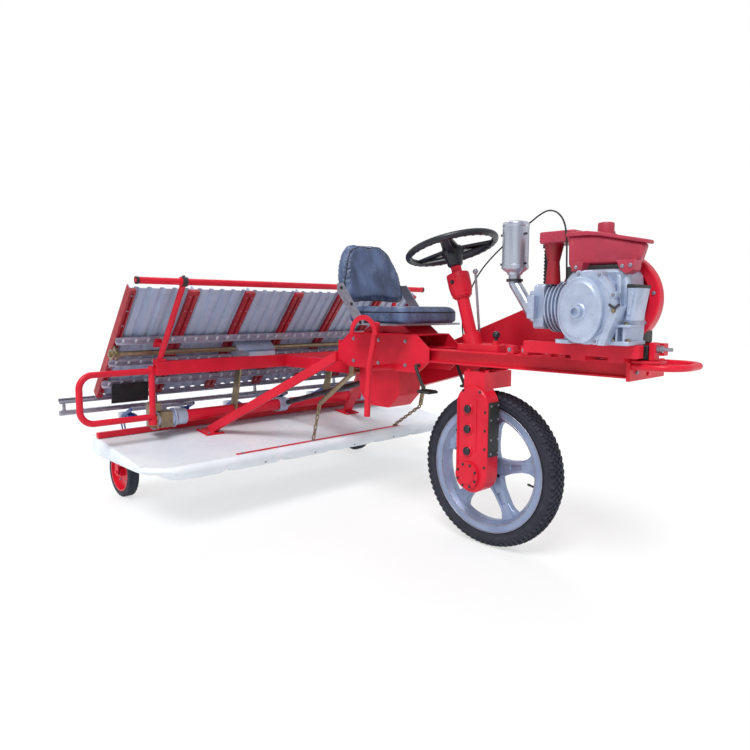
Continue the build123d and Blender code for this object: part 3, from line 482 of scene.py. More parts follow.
def ringPlaces(middle, radius, count, first):
    turns = [math.radians(first + number * 360 / count) for number in range(count)]
    return [
        (middle[0] + radius * math.cos(turn), middle[1], middle[2] + radius * math.sin(turn))
        for turn in turns
    ]


def boltSet(name, body, finishName, direction, size, places):
    bm = bmesh.new()
    for place in places:
        addBolt(bm, place, direction, size)
    showPiece(name, bm, finishName, body)


def addTube(name, places, radius, order, detail, closed):
    curve = bpy.data.curves.new(name, "CURVE")
    curve.dimensions = "3D"
    line = curve.splines.new("NURBS")
    line.points.add(len(places) - 1)
    for point, place in zip(line.points, places):
        point.co = (*place, 1)
    line.order_u = order
    line.use_cyclic_u = closed
    line.use_endpoint_u = not closed
    curve.bevel_depth = radius
    curve.bevel_resolution, curve.resolution_u = detail
    curve.use_fill_caps = not closed
    curve.materials.append(materials["mouldedRubber"])
    return addObject(name, curve)


# throttle cable: one smooth line over the engine to the frame's left rail
cable = {"width": 0.006, "length": 1.20}
cableRoute = [
    (0.895, -0.150, 0.958), (0.895, -0.150, 1.020), (0.893, -0.151, 1.090), (0.887, -0.144, 1.160),
    (0.866, -0.122, 1.222), (0.818, -0.084, 1.263), (0.752, -0.032, 1.284), (0.688, 0.016, 1.280),
    (0.625, 0.042, 1.254), (0.564, 0.050, 1.221), (0.505, 0.053, 1.180), (0.447, 0.052, 1.134),
    (0.391, 0.053, 1.079), (0.347, 0.054, 1.008), (0.316, 0.057, 0.934), (0.301, 0.066, 0.870),
    (0.299, 0.080, 0.822), (0.299, 0.080, 0.775),
]
throttleCable = addTube("throttleCable", cableRoute, cable["width"] / 2, 3, (3, 8), False)
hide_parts("throttle_cable")
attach(throttleCable, "chassis")
print("stage: throttle cable")

# front tyre: smooth carcass with staggered rows of tread blocks and shoulder lugs
tyre = {
    "axle": (0.510, 0.0, 0.3105), "crown": 0.3105, "crownFall": 11.1, "chamfer": 0.0009,
    "blocks": 76, "rows": (-0.0245, -0.0125, 0.0, 0.0125, 0.0245), "block": (0.0165, 0.0088, 0.009),
    "blockTurn": 0.35, "lug": (0.0125, 0.0075, 0.0150), "lugPlace": (0.0345, 0.2955),
    "lugTurn": 0.6,
}
bm = bmesh.new()
half = [
    (0.2330, 0.0296), (0.2512, 0.0296), (0.2560, 0.0330), (0.2640, 0.0362), (0.2750, 0.0383),
    (0.2860, 0.0376),
    (0.2940, 0.0345), (0.2990, 0.0270), (0.3030, 0.0150), (0.3045, 0.0050),
]
profile = half + [(radius, -out) for radius, out in reversed(half)] + [half[0]]
addTurned(bm, tyre["axle"], (0, 1, 0), profile, 120)
for radius in (0.262, 0.279):  # moulded sidewall beads
    for side in (-1, 1):
        out = side * (0.0359 if radius < 0.27 else 0.0381)
        addTurned(
            bm, tyre["axle"], (0, 1, 0),
            [(radius - 0.0015, out), (radius, out + side * 0.0012), (radius + 0.0015, out)], 96
        )
frontTyre = showPiece("frontTyre", bm, "tyreRubber", "front_wheel", smooth=50)
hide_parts("front_tyre")
bm = bmesh.new()
pitch = 2 * math.pi / tyre["blocks"]
for number, out in enumerate(tyre["rows"]):
    staggered = number % 2
    top = tyre["crown"] - tyre["crownFall"] * out * out - tyre["block"][2] / 2
    turn = Matrix.Rotation(pitch * 0.5 * staggered, 4, "Y")
    place = Matrix.Translation(tyre["axle"]) @ turn @ Matrix.Translation((0, out, top))
    slant = tyre["blockTurn"] if staggered else -tyre["blockTurn"]
    addBox(bm, place @ Matrix.Rotation(slant, 4, "Z"), tyre["block"])
turn = Matrix.Rotation(pitch * 0.5, 4, "Y")
for side in (-1, 1):
    lugOut, lugTop = tyre["lugPlace"]
    place = Matrix.Translation(tyre["axle"]) @ turn @ Matrix.Translation((0, side * lugOut, lugTop))
    addBox(bm, place @ Matrix.Rotation(side * tyre["lugTurn"], 4, "X"), tyre["lug"])
chamferAll(bm, tyre["chamfer"])
copyRound(bm, tyre["axle"], tyre["blocks"])
showPiece("frontTread", bm, "tyreRubber", "front_wheel", smooth=30)

# rolled beads on the rim's edges, in bright steel that paints a highlight along the rim's lips
bead = 0.0022
bm = bmesh.new()
for radius in (0.2500, 0.2225):
    for side in (-1, 1):
        out = side * (0.0345 if radius > 0.24 else 0.0340)
        addTurned(
            bm, tyre["axle"], (0, 1, 0),
            [
                (
                    radius + bead * math.cos(step * math.pi / 4),
                    out + bead * math.sin(step * math.pi / 4)
                )
                for step in range(9)
            ],
            96,
        )
showPiece("rimBeadsPaintedHighlight", bm, "galvanisedSteel", "front_wheel", smooth=60)

# the cast spokes flare into the hub and the rim
spokeLook = {"first": 12, "count": 5, "half": 0.0150}
bm = bmesh.new()
flares = (
    [
        (0.148, -0.0215), (0.178, -0.0265), (0.196, -0.0370), (0.207, -0.0550), (0.207, 0.0550),
        (0.196, 0.0370), (0.178, 0.0265), (0.148, 0.0215)
    ],
    [
        (0.030, -0.0420), (0.052, -0.0385), (0.075, -0.0305), (0.105, -0.0245), (0.105, 0.0245),
        (0.075, 0.0305), (0.052, 0.0385), (0.030, 0.0420)
    ],
)
flares += tuple(
    [(0.098, side * 0.013), (0.152, side * 0.013), (0.152, side * 0.0215), (0.098, side * 0.0245)]
    for side in (-1, 1)
)
for number in range(spokeLook["count"]):
    turn = math.radians(spokeLook["first"] - number * 360 / spokeLook["count"])
    out = Vector((math.cos(turn), 0, math.sin(turn)))
    across = Vector((-math.sin(turn), 0, math.cos(turn)))
    for outline in flares:
        start = Vector(tyre["axle"]) - Vector((0, spokeLook["half"], 0))
        corners = [bm.verts.new(start + out * far + across * aside) for far, aside in outline]
        thicken(bm, corners, (0, 2 * spokeLook["half"], 0))
showPiece("spokeFlares", bm, "paintedAlloy", "front_wheel", smooth=30, bevel=0.004)

# wheel nuts and valve
bm = bmesh.new()
axleX, axleZ = tyre["axle"][0], tyre["axle"][2]
for place in ringPlaces((axleX, 0.045, axleZ), 0.031, 5, 20):
    addBolt(bm, place, (0, 1, 0), 0.0075)
for place in ringPlaces((axleX, -0.054, axleZ), 0.034, 6, 0):
    addBolt(bm, place, (0, -1, 0), 0.006)
showPiece("wheelNuts", bm, "galvanisedSteel", "front_wheel")
bm = bmesh.new()
valveTurn = math.radians(-11)
valve = Vector((math.cos(valveTurn), 0, math.sin(valveTurn)))
addDisc(bm, Vector(tyre["axle"]) + valve * 0.206, -valve, 0.0042, 0.024, 12)
addDisc(bm, Vector(tyre["axle"]) + valve * 0.182, -valve, 0.0050, 0.009, 12, 0.0040)
showPiece("tyreValve", bm, "mouldedRubber", "front_wheel")
print("stage: front wheel")

# drive leg: cover bolts, case bolts, plug collars and the front plate's screws
leg = {
    "coverMiddle": (0.501, -0.147, 0.3045), "face": -0.135, "front": 0.590,
    "plugX": 0.496, "plugZ": (0.559, 0.482, 0.397),
}
coverBolts = ringPlaces(leg["coverMiddle"], 0.044, 8, 22.5)
boltSet("legCoverBolts", "drive_leg", "oiledSteel", (0, -1, 0), 0.0048, coverBolts)
edgeBolts = [(0.444, z) for z in (0.400, 0.470, 0.540)]
edgeBolts += [(0.574, z) for z in (0.345, 0.415, 0.485, 0.555)]
edgeBolts += [(0.470, 0.628), (0.548, 0.628)]
boltSet(
    "legCaseBolts", "drive_leg", "oiledSteel", (0, -1, 0), 0.0045,
    [(x, leg["face"], z) for x, z in edgeBolts]
)
bm = bmesh.new()
for z in leg["plugZ"]:
    addTurned(
        bm, (leg["plugX"], leg["face"], z), (0, -1, 0),
        [
            (0.0162, -0.001), (0.0225, -0.001), (0.0225, 0.0025), (0.0205, 0.0045),
            (0.0162, 0.0045), (0.0162, -0.001)
        ],
        32,
    )
showPiece("plugCollars", bm, "redEnamel", "drive_leg")
bm = bmesh.new()
for z in leg["plugZ"]:
    addTurned(
        bm, (leg["plugX"], -0.142, z), (0, -1, 0),
        [
            (0.0, 0.0020), (0.0075, 0.0020), (0.0085, 0.0038), (0.0130, 0.0038), (0.0150, 0.0022),
            (0.0155, -0.0010), (0.0, -0.0010)
        ],
        32,
    )
showPiece("plugFaces", bm, "glossPhenolic", "drive_leg")
plateScrews = [(leg["front"], y, z) for y in (-0.119, -0.075) for z in (0.397, 0.450, 0.525, 0.578)]
boltSet("plateScrews", "drive_leg", "galvanisedSteel", (1, 0, 0), 0.0042, plateScrews)
bm = bmesh.new()
addSheet(bm, [(0.446, 0.33), (0.452, 0.33), (0.452, 0.60), (0.446, 0.60)], -0.1385, -0.134)
addSheet(bm, [(0.530, 0.40), (0.536, 0.40), (0.536, 0.60), (0.530, 0.60)], -0.1385, -0.134)
addTurned(
    bm, leg["coverMiddle"], (0, -1, 0),
    [(0.0, 0.0022), (0.0335, 0.0022), (0.0355, 0.0), (0.0, -0.001)], 40
)
showPiece("legRibs", bm, "redEnamel", "drive_leg", bevel=0.001)
bm = bmesh.new()
addTurned(
    bm, (0.510, 0.0, 0.700), (0, 0, 1),
    [(0.046, 0.0), (0.058, 0.0), (0.058, 0.005), (0.052, 0.008), (0.046, 0.008), (0.046, 0.0)], 48
)
for x in (0.468, 0.552):
    addBolt(bm, (x, -0.1, 0.700), (0, 0, 1), 0.008)
showPiece("headCollar", bm, "redEnamel", "drive_leg")
print("stage: drive leg")

# engine: oval timing cover on its housing, flange bolts, ribs, pillars, feet and wing bolt
engine = {
    "cover": (1.005, -0.270, 0.935), "coverWidth": 0.74, "housing": (1.020, -0.250, 0.943),
    "housingWidth": 0.80,
    "flange": 0.108, "foot": 0.8305, "disc": (1.028, -0.080, 0.971), "discRadius": 0.1405,
    "drumX": 0.922, "drumZ": 0.970,
}


def addOval(bm, place, width, profile):
    old = set(bm.verts)
    addTurned(bm, place, (0, -1, 0), profile, 72)
    for vertex in bm.verts:
        if vertex not in old:
            vertex.co.x = place[0] + (vertex.co.x - place[0]) * width


def ovalPlaces(place, width, radius, count, first):
    ring = ringPlaces(place, radius, count, first)
    return [(place[0] + (x - place[0]) * width, y, z) for x, y, z in ring]


bm = bmesh.new()
addOval(
    bm, engine["housing"], engine["housingWidth"],
    [
        (0.0, -0.062), (0.104, -0.062), (0.104, -0.022), (0.112, -0.020), (0.112, -0.004),
        (0.1095, 0.0), (0.098, 0.001), (0.096, 0.004), (0.0, 0.004)
    ],
)
addOval(
    bm, engine["cover"], engine["coverWidth"],
    [
        (0.0, -0.022), (0.1005, -0.022), (0.1005, -0.004), (0.0975, 0.0), (0.088, 0.002),
        (0.082, 0.007), (0.058, 0.0095), (0.0, 0.0105)
    ],
)
addTurned(
    bm, (1.007, -0.270, 0.930), (0, -1, 0),
    [(0.0275, 0.008), (0.0265, 0.012), (0.0225, 0.015), (0.0180, 0.015), (0.0180, 0.008)], 40,
)
timingPlaces = ovalPlaces(engine["housing"], engine["housingWidth"], engine["flange"], 8, 20)
for place in timingPlaces:
    addDisc(bm, (place[0], place[1] + 0.036, place[2]), (0, -1, 0), 0.0105, 0.037, 16)
timingCover = showPiece("timingCover", bm, "castAluminium", smooth=30)
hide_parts("gear_case")
boltSet(
    "timingBolts", "chassis", "galvanisedSteel", (0, -1, 0), 0.0048,
    [(x, y - 0.001, z) for x, y, z in timingPlaces],
)
bm = bmesh.new()
addTurned(
    bm, (1.007, -0.284, 0.930), (0, -1, 0),
    [
        (0.0182, -0.006), (0.0182, 0.016), (0.0165, 0.018), (0.0110, 0.018), (0.0105, 0.008),
        (0.0, 0.008)
    ],
    32,
)
showPiece("startHub", bm, "castAluminium")
bm = bmesh.new()
addSheet(
    bm, [(1.062, engine["foot"]), (1.084, engine["foot"]), (1.126, 0.944), (1.104, 0.950)],
    -0.262, -0.186
)
addSheet(bm, [(1.100, 0.905), (1.112, 0.905), (1.104, 1.040), (1.092, 1.040)], -0.214, -0.186)
addSheet(bm, [(1.122, 0.905), (1.140, 0.903), (1.156, 1.003), (1.124, 1.006)], -0.206, -0.120)
addSheet(bm, [(1.126, 0.922), (1.135, 0.921), (1.145, 0.990), (1.128, 0.992)], -0.212, -0.200)
addSheet(
    bm, [(1.060, engine["foot"]), (1.140, engine["foot"]), (1.140, 0.843), (1.060, 0.843)],
    -0.222, -0.100
)
addSheet(
    bm, [(0.912, engine["foot"]), (0.960, engine["foot"]), (0.960, 0.843), (0.912, 0.843)],
    -0.240, -0.100
)
addSheet(bm, [(1.094, 0.885), (1.146, 0.885), (1.146, 0.893), (1.094, 0.893)], -0.226, -0.150)
for x in (1.098, 1.120):
    addSheet(bm, [(x, 0.840), (x + 0.007, 0.840), (x + 0.007, 0.888), (x, 0.888)], -0.220, -0.186)
showPiece("engineRibs", bm, "castAluminium", bevel=0.0022)
bm = bmesh.new()
addBolt(bm, (1.110, -0.262, 0.934), (0, -1, 0), 0.006)
addBolt(bm, (1.120, -0.196, 0.893), (0, 0, 1), 0.007)
addBolt(bm, (1.132, -0.205, 0.843), (0, 0, 1), 0.008)
addBolt(bm, (1.090, -0.215, 0.843), (0, 0, 1), 0.007)
showPiece("engineBolts", bm, "yellowZinc")
bm = bmesh.new()
for side in (-1, 1):
    wing = [
        (1.114, 0.938), (1.114 + side * 0.018, 0.948), (1.114 + side * 0.016, 0.956), (1.114, 0.946)
    ]
    addSheet(bm, wing, -0.268, -0.264)
showPiece("wingBolt", bm, "oiledSteel", bevel=0.0008)

# crankcase, and the fan shroud beside it: a dished disc with a wide flat rim
bm = bmesh.new()
addSheet(
    bm,
    [
        (0.912, engine["foot"]), (1.126, engine["foot"]), (1.130, 0.905), (1.118, 1.040),
        (1.104, 1.060), (0.940, 1.060), (0.912, 1.030)
    ],
    -0.192, -0.078,
)
showPiece("crankcase", bm, "castAluminium", bevel=0.010)
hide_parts("engine_block")
bm = bmesh.new()
addTurned(
    bm, (1.010, -0.080, 0.950), (0, 1, 0), [(0.0, 0.0), (0.100, 0.0), (0.100, 0.030), (0.0, 0.030)],
    48
)
addBlock(bm, (0.915, -0.060, engine["foot"]), (1.100, 0.050, 0.870))
addBlock(bm, (0.900, -0.160, 1.020), (1.096, 0.040, 1.075))
addBlock(bm, (0.882, -0.166, 0.950), (0.914, -0.134, 0.958))
addSheet(bm, [(1.121, 1.000), (1.158, 1.000), (1.158, 1.010), (1.121, 1.013)], -0.208, -0.118)
showPiece("engineInner", bm, "blackEnamel", bevel=0.004)
bm = bmesh.new()
radius = engine["discRadius"]
addTurned(
    bm, engine["disc"], (0, 1, 0),
    [
        (0.0, 0.020), (radius * 0.62, 0.020), (radius * 0.74, 0.012), (radius * 0.78, 0.0),
        (radius * 0.97, 0.0), (radius, 0.004), (radius, 0.026), (radius * 0.97, 0.031),
        (radius * 0.80, 0.034), (radius * 0.66, 0.140), (0.0, 0.140)
    ],
    96,
)
showPiece("fanShroud", bm, "redEnamel", smooth=30)
boltSet(
    "shroudBolts", "chassis", "galvanisedSteel", (0, -1, 0), 0.0055,
    ringPlaces(engine["disc"], radius * 0.875, 8, 8),
)
# flywheel drum beside the belt guard, its outer edge drawn in
bm = bmesh.new()
addTurned(
    bm, (engine["drumX"], 0.060, engine["drumZ"]), (0, 1, 0),
    [
        (0.0, 0.0), (0.166, 0.0), (0.172, 0.006), (0.172, 0.072), (0.168, 0.092), (0.158, 0.110),
        (0.143, 0.1195), (0.086, 0.1195), (0.0845, 0.1180), (0.0845, 0.0900), (0.0, 0.0900)
    ],
    96,
)
showPiece("flywheelDrum", bm, "redEnamel", smooth=40)
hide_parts("flywheel_shroud")
bm = bmesh.new()
for ring in (0.030, 0.050, 0.070):
    addTurned(
        bm, (engine["drumX"], 0.178, engine["drumZ"]), (0, 1, 0),
        [(ring, -0.002), (ring + 0.004, 0.0), (ring, 0.002), (ring - 0.004, 0.0), (ring, -0.002)],
        48
    )
addTurned(
    bm, (engine["drumX"], 0.150, engine["drumZ"]), (0, 1, 0),
    [(0.0, 0.030), (0.020, 0.030), (0.026, 0.024), (0.026, 0.0)], 32
)
for number in range(8):
    turn = number * math.pi / 4
    out = Vector((math.cos(turn), 0, math.sin(turn)))
    addDisc(
        bm, Vector((engine["drumX"], 0.178, engine["drumZ"])) + out * 0.020, out, 0.0026, 0.068, 8
    )
showPiece("shroudGuard", bm, "blackEnamel")

# fuel tank: pressed shell with a rolled lid seam, filler cap, and lugs with bolts
tankSide = [(0.897, 1.075), (1.129, 1.077), (1.146, 1.134), (1.000, 1.168), (0.893, 1.174)]
tankFar = [(0.897, 1.075), (1.098, 1.077), (1.114, 1.141), (1.000, 1.168), (0.893, 1.174)]
bm = bmesh.new()
addSheet(bm, tankSide, -0.150, -0.112)
addSheet(bm, tankFar, -0.130, -0.062)
showPiece("fuelTank", bm, "fadedEnamel", bevel=0.009)
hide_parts("fuel_tank")
bm = bmesh.new()
addSheet(
    bm, [(0.897, 1.113), (1.055, 1.113), (1.060, 1.150), (0.992, 1.168), (0.893, 1.172)],
    -0.075, 0.050
)
showPiece("tankWing", bm, "fadedEnamel", bevel=0.012)
bm = bmesh.new()
for lidEnd, near, far in (
    ((1.153, 1.138), -0.157, -0.106), ((1.126, 1.144), -0.108, -0.052),
    ((1.066, 1.157), -0.056, 0.056)
):
    endX, endZ = lidEnd
    addSheet(
        bm,
        [
            (0.889, 1.170), (0.960, 1.170), (1.000, 1.166), (endX, endZ - 0.005),
            (endX + 0.002, endZ), (endX, endZ + 0.007), (1.000, 1.178), (0.960, 1.184),
            (0.893, 1.184), (0.889, 1.180)
        ],
        near, far,
    )
showPiece("tankLid", bm, "fadedEnamel", bevel=0.0028)
bm = bmesh.new()
addTurned(
    bm, (0.973, -0.050, 1.180), (0, 0, 1),
    [
        (0.0, 0.038), (0.018, 0.0385), (0.0245, 0.037), (0.0262, 0.033), (0.0262, 0.010),
        (0.0295, 0.008), (0.0295, 0.002), (0.036, -0.001)
    ],
    48,
)
showPiece("fillerCap", bm, "fadedEnamel")
bm = bmesh.new()
addSheet(
    bm, [(1.082, 1.084), (1.140, 1.084), (1.136, 1.054), (1.114, 1.042), (1.094, 1.056)],
    -0.200, -0.150
)
addSheet(bm, [(0.930, 1.084), (0.975, 1.084), (0.970, 1.056), (0.936, 1.056)], -0.198, -0.150)
showPiece("tankLugs", bm, "fadedEnamel", bevel=0.0015)
boltSet(
    "tankBolts", "chassis", "galvanisedSteel", (0, -1, 0), 0.0055,
    [(1.102, -0.200, 1.066), (1.127, -0.200, 1.068), (0.952, -0.198, 1.068)]
)

# air cleaner behind the tank, on a funnel that stands on the cylinder
bm = bmesh.new()
addBlock(bm, (0.768, -0.118, 1.158), (0.898, 0.010, 1.198))
showPiece("airCleaner", bm, "fadedEnamel", bevel=0.006)
# the funnel takes the red enamel painted darker as shade
bm = bmesh.new()
addDisc(bm, (0.800, -0.072, 1.160), (0, 0, -1), 0.034, 0.062, 32, 0.020)
addDisc(bm, (0.800, -0.072, 1.099), (0, 0, -1), 0.020, 0.077, 32, 0.026)
showPiece("inletFunnel", bm, "redEnamelPaintedShade")
hoseFolds = [(0.018 if step % 2 else 0.014, 0.006 + step * 0.006) for step in range(22)]
bm = bmesh.new()
addTurned(
    bm, (0.756, -0.030, 1.020), (0, 0, 1),
    [(0.0, 0.0), (0.018, 0.0)] + hoseFolds + [(0.016, 0.140), (0.0, 0.140)], 32,
)
addBlock(bm, (0.740, -0.045, 1.150), (0.790, -0.015, 1.172))
showPiece("breatherHose", bm, "mouldedRubber")
bm = bmesh.new()
addBlock(bm, (0.745, -0.085, 1.018), (0.800, 0.015, 1.024))
addBlock(bm, (0.742, -0.142, 0.905), (0.770, -0.108, 0.985))
addDisc(bm, (0.756, -0.036, 0.945), (-1, 0, 0), 0.030, 0.012, 32, 0.026)
addDisc(bm, (0.748, -0.075, 0.985), (-1, 0, 0.3), 0.009, 0.034, 6)
showPiece("cylinderHead", bm, "castAluminium", bevel=0.002)
boltSet(
    "headNuts", "chassis", "galvanisedSteel", (-1, 0, 0), 0.008,
    [(0.750, y, z) for y in (-0.090, 0.020) for z in (0.892, 0.998)]
)

# silencer: end caps, bands, side clips and collar
silencer = {"axis": (0.630, -0.050), "bands": 6, "bandOut": 0.0472}
silencerX, silencerY = silencer["axis"]
bm = bmesh.new()
addTurned(
    bm, (silencerX, silencerY, 1.240), (0, 0, 1),
    [
        (0.0, 0.014), (0.030, 0.013), (0.042, 0.009), (0.0485, 0.002), (0.0485, -0.006),
        (0.0475, -0.008)
    ],
    48,
)
addTurned(
    bm, (silencerX, silencerY, 1.077), (0, 0, 1),
    [
        (0.0476, 0.020), (0.0488, 0.016), (0.0488, 0.006), (0.040, -0.002), (0.030, -0.008),
        (0.026, -0.016), (0.0225, -0.016)
    ],
    48,
)
for number in range(silencer["bands"]):
    turn = math.radians(number * 360 / silencer["bands"] + 15)
    x = silencerX + silencer["bandOut"] * math.cos(turn)
    y = silencerY + silencer["bandOut"] * math.sin(turn)
    addDisc(bm, (x, y, 1.090), (0, 0, 1), 0.0016, 0.145, 8)
showPiece("silencerTrim", bm, "drawnStainless", smooth=40)
bm = bmesh.new()
for z in (1.100, 1.205):
    for side in (-1, 1):
        addDisc(bm, (silencerX + side * 0.046, -0.062, z), (side, -0.2, 0), 0.0045, 0.008, 16)
addTurned(
    bm, (silencerX, silencerY, 1.050), (0, 0, 1),
    [(0.0222, -0.014), (0.030, -0.014), (0.030, -0.004), (0.0222, -0.004)], 32
)
showPiece("silencerClips", bm, "oiledSteel")
print("stage: engine")

# adjuster on the frame's front: tongue plate, post, screw, nut and rubber spacer
bm = bmesh.new()
addBlock(bm, (1.030, -0.126, 0.775), (1.194, -0.062, 0.782))
addBlock(bm, (1.156, -0.112, 0.782), (1.175, -0.076, 0.838))
addBlock(bm, (1.030, -0.122, 0.782), (1.124, -0.086, 0.826))
showPiece("tonguePlate", bm, "redEnamel", bevel=0.0025)
bm = bmesh.new()
addDisc(bm, (1.122, -0.094, 0.818), (1, 0, 0), 0.0058, 0.098, 16)
addDisc(bm, (1.175, -0.094, 0.818), (1, 0, 0), 0.0115, 0.009, 6)
addDisc(bm, (1.185, -0.094, 0.818), (1, 0, 0), 0.0115, 0.007, 6)
showPiece("adjusterScrew", bm, "galvanisedSteel")
bm = bmesh.new()
addBlock(bm, (1.126, -0.114, 0.784), (1.154, -0.074, 0.828))
showPiece("rubberSpacer", bm, "mouldedRubber", bevel=0.003)
bm = bmesh.new()
for x in (0.640, 0.700, 0.790, 0.845):
    addBlock(bm, (x, -0.108, 0.775), (x + 0.030, -0.074, 0.806))
showPiece("railClamps", bm, "redEnamel", bevel=0.003)
places = [(x, -0.108, 0.792) for x in (0.655, 0.715, 0.805, 0.860)]
boltSet("clampBolts", "chassis", "galvanisedSteel", (0, -1, 0), 0.007, places)
for side, hand in ((-1, "Right"), (1, "Left")):
    boltSet(
        "deckBolts" + hand, "chassis", "galvanisedSteel", (0, side, 0), 0.0075,
        [(x, side * 0.106, z) for x in (-0.18, -0.02, 0.14) for z in (0.70, 0.80)],
    )
boltSet(
    "frontPlateBolts", "chassis", "galvanisedSteel", (1, 0, 0), 0.007,
    [(1.110, y, 0.742) for y in (-0.085, 0.105)]
)

# steering wheel: hub cap, spoke webs, and finger swells under the grip; then the column's bell
column = {
    "foot": Vector((0.410, 0, 0.800)), "lean": Vector((-0.107, 0, 0.348)).normalized(),
    "rim": 0.398, "bell": 0.208, "swells": 32,
}
bm = bmesh.new()
rimMiddle = column["foot"] + column["lean"] * column["rim"]
addTurned(
    bm, rimMiddle, column["lean"],
    [
        (0.0, -0.078), (0.024, -0.078), (0.031, -0.070), (0.034, -0.045), (0.046, -0.018),
        (0.046, -0.006), (0.040, 0.002), (0.030, 0.004), (0.0, 0.005)
    ],
    40,
)
rimForward = column["lean"].cross(Vector((0, -1, 0))).normalized()
for degrees in (-90, 30, 150):
    turn = math.radians(degrees)
    out = Vector((0, -1, 0)) * math.cos(turn) + rimForward * math.sin(turn)
    across = column["lean"].cross(out)
    start = rimMiddle + out * 0.030 - column["lean"] * 0.014
    end = rimMiddle + out * 0.170 - column["lean"] * 0.002
    corners = [bm.verts.new(place) for place in (
        start - across * 0.034, end - across * 0.020, end + across * 0.020, start + across * 0.034,
    )]
    thicken(bm, corners, column["lean"] * 0.012)
showPiece("steeringBoss", bm, "glossPhenolic", "steering", bevel=0.003)
bm = bmesh.new()
addTurned(
    bm, rimMiddle, column["lean"],
    [
        (0.178 + 0.0135 * math.cos(step * math.pi / 8), 0.0135 * math.sin(step * math.pi / 8))
        for step in range(17)
    ],
    96,
)
for number in range(column["swells"]):  # the grip swells between the fingers
    turn = 2 * math.pi * number / column["swells"]
    out = rimForward * math.cos(turn) + Vector((0, 1, 0)) * math.sin(turn)
    place = rimMiddle + out * 0.1775 - column["lean"] * 0.0045
    bmesh.ops.create_uvsphere(
        bm, u_segments=10, v_segments=8, radius=0.0108, matrix=Matrix.Translation(place)
    )
showPiece("steeringGrip", bm, "glossPhenolic", "steering")
bm = bmesh.new()
bell = column["foot"] + column["lean"] * column["bell"]
addTurned(bm, bell, column["lean"], [
    (0.0252, -0.022), (0.031, -0.021), (0.038, -0.012), (0.0435, 0.004), (0.0462, 0.026),
    (0.0465, 0.076), (0.0445, 0.081), (0.041, 0.081),
    (0.037, 0.070), (0.0212, 0.066),
], 48)
showPiece("columnBell", bm, "redEnamel")
bm = bmesh.new()
addBolt(bm, bell + Vector((0, -0.045, 0)) + column["lean"] * 0.046, (0, -1, 0), 0.008)
bmesh.ops.create_uvsphere(
    bm, u_segments=20, v_segments=14, radius=0.015,
    matrix=Matrix.Translation((0.540, -0.028, 0.838))
)
addDisc(bm, (0.540, -0.028, 0.816), (0, 0, 1), 0.007, 0.016, 16)
showPiece("headKnob", bm, "glossPhenolic")
# painted steelwork shown with its edges rounded
for node, width in (
    ("main_frame", 0.0018), ("engine_mounts", 0.0022), ("steering_head", 0.003),
    ("link_arms", 0.004), ("cross_member", 0.004),
    ("rear_beam", 0.004), ("gearbox", 0.004), ("seat_base", 0.004), ("float_bars", 0.0025),
    ("transport_forks", 0.0015),
):
    first, *others = node.split("_")
    name = first + "".join(word.title() for word in others) + "Edges"
    roundedCopy(name, node, "redEnamel", "chassis", width, 2)
roundedCopy("legCaseEdges", "leg_case", "redEnamel", "drive_leg", 0.0065, 3)
print("stage: frame and steering")

# knob of the gear lever, and treads on the pedals
pedals = {"x": 0.268, "y": 0.1385, "half": 0.024, "bars": 5, "pitch": 0.011}
bm = bmesh.new()
bmesh.ops.create_uvsphere(
    bm, u_segments=24, v_segments=16, radius=0.0085,
    matrix=Matrix.Translation((0.398, 0.022, 1.085)) @ Matrix.Diagonal((1, 1, 1.3, 1))
)
showPiece("gearKnob", bm, "glossPhenolic")
bm = bmesh.new()
for side in (-1, 1):
    middle = side * pedals["y"]
    for number in range(pedals["bars"]):
        x = pedals["x"] + number * pedals["pitch"]
        addBlock(
            bm, (x, middle - pedals["half"], 0.610), (x + 0.005, middle + pedals["half"], 0.6135)
        )
showPiece("pedalTreads", bm, "mouldedRubber", bevel=0.0008)

# seat brackets' bolts
bm = bmesh.new()
for side in (-1, 1):
    for x, z in ((-0.030, 0.877), (-0.085, 0.955), (-0.150, 1.025)):
        addBolt(bm, (x, side * 0.206, z), (0, side, 0), 0.0065)
showPiece("seatBolts", bm, "oiledSteel")


def settled(cushion):
    graph = bpy.context.evaluated_depsgraph_get()
    return bpy.data.meshes.new_from_object(cushion.evaluated_get(graph))


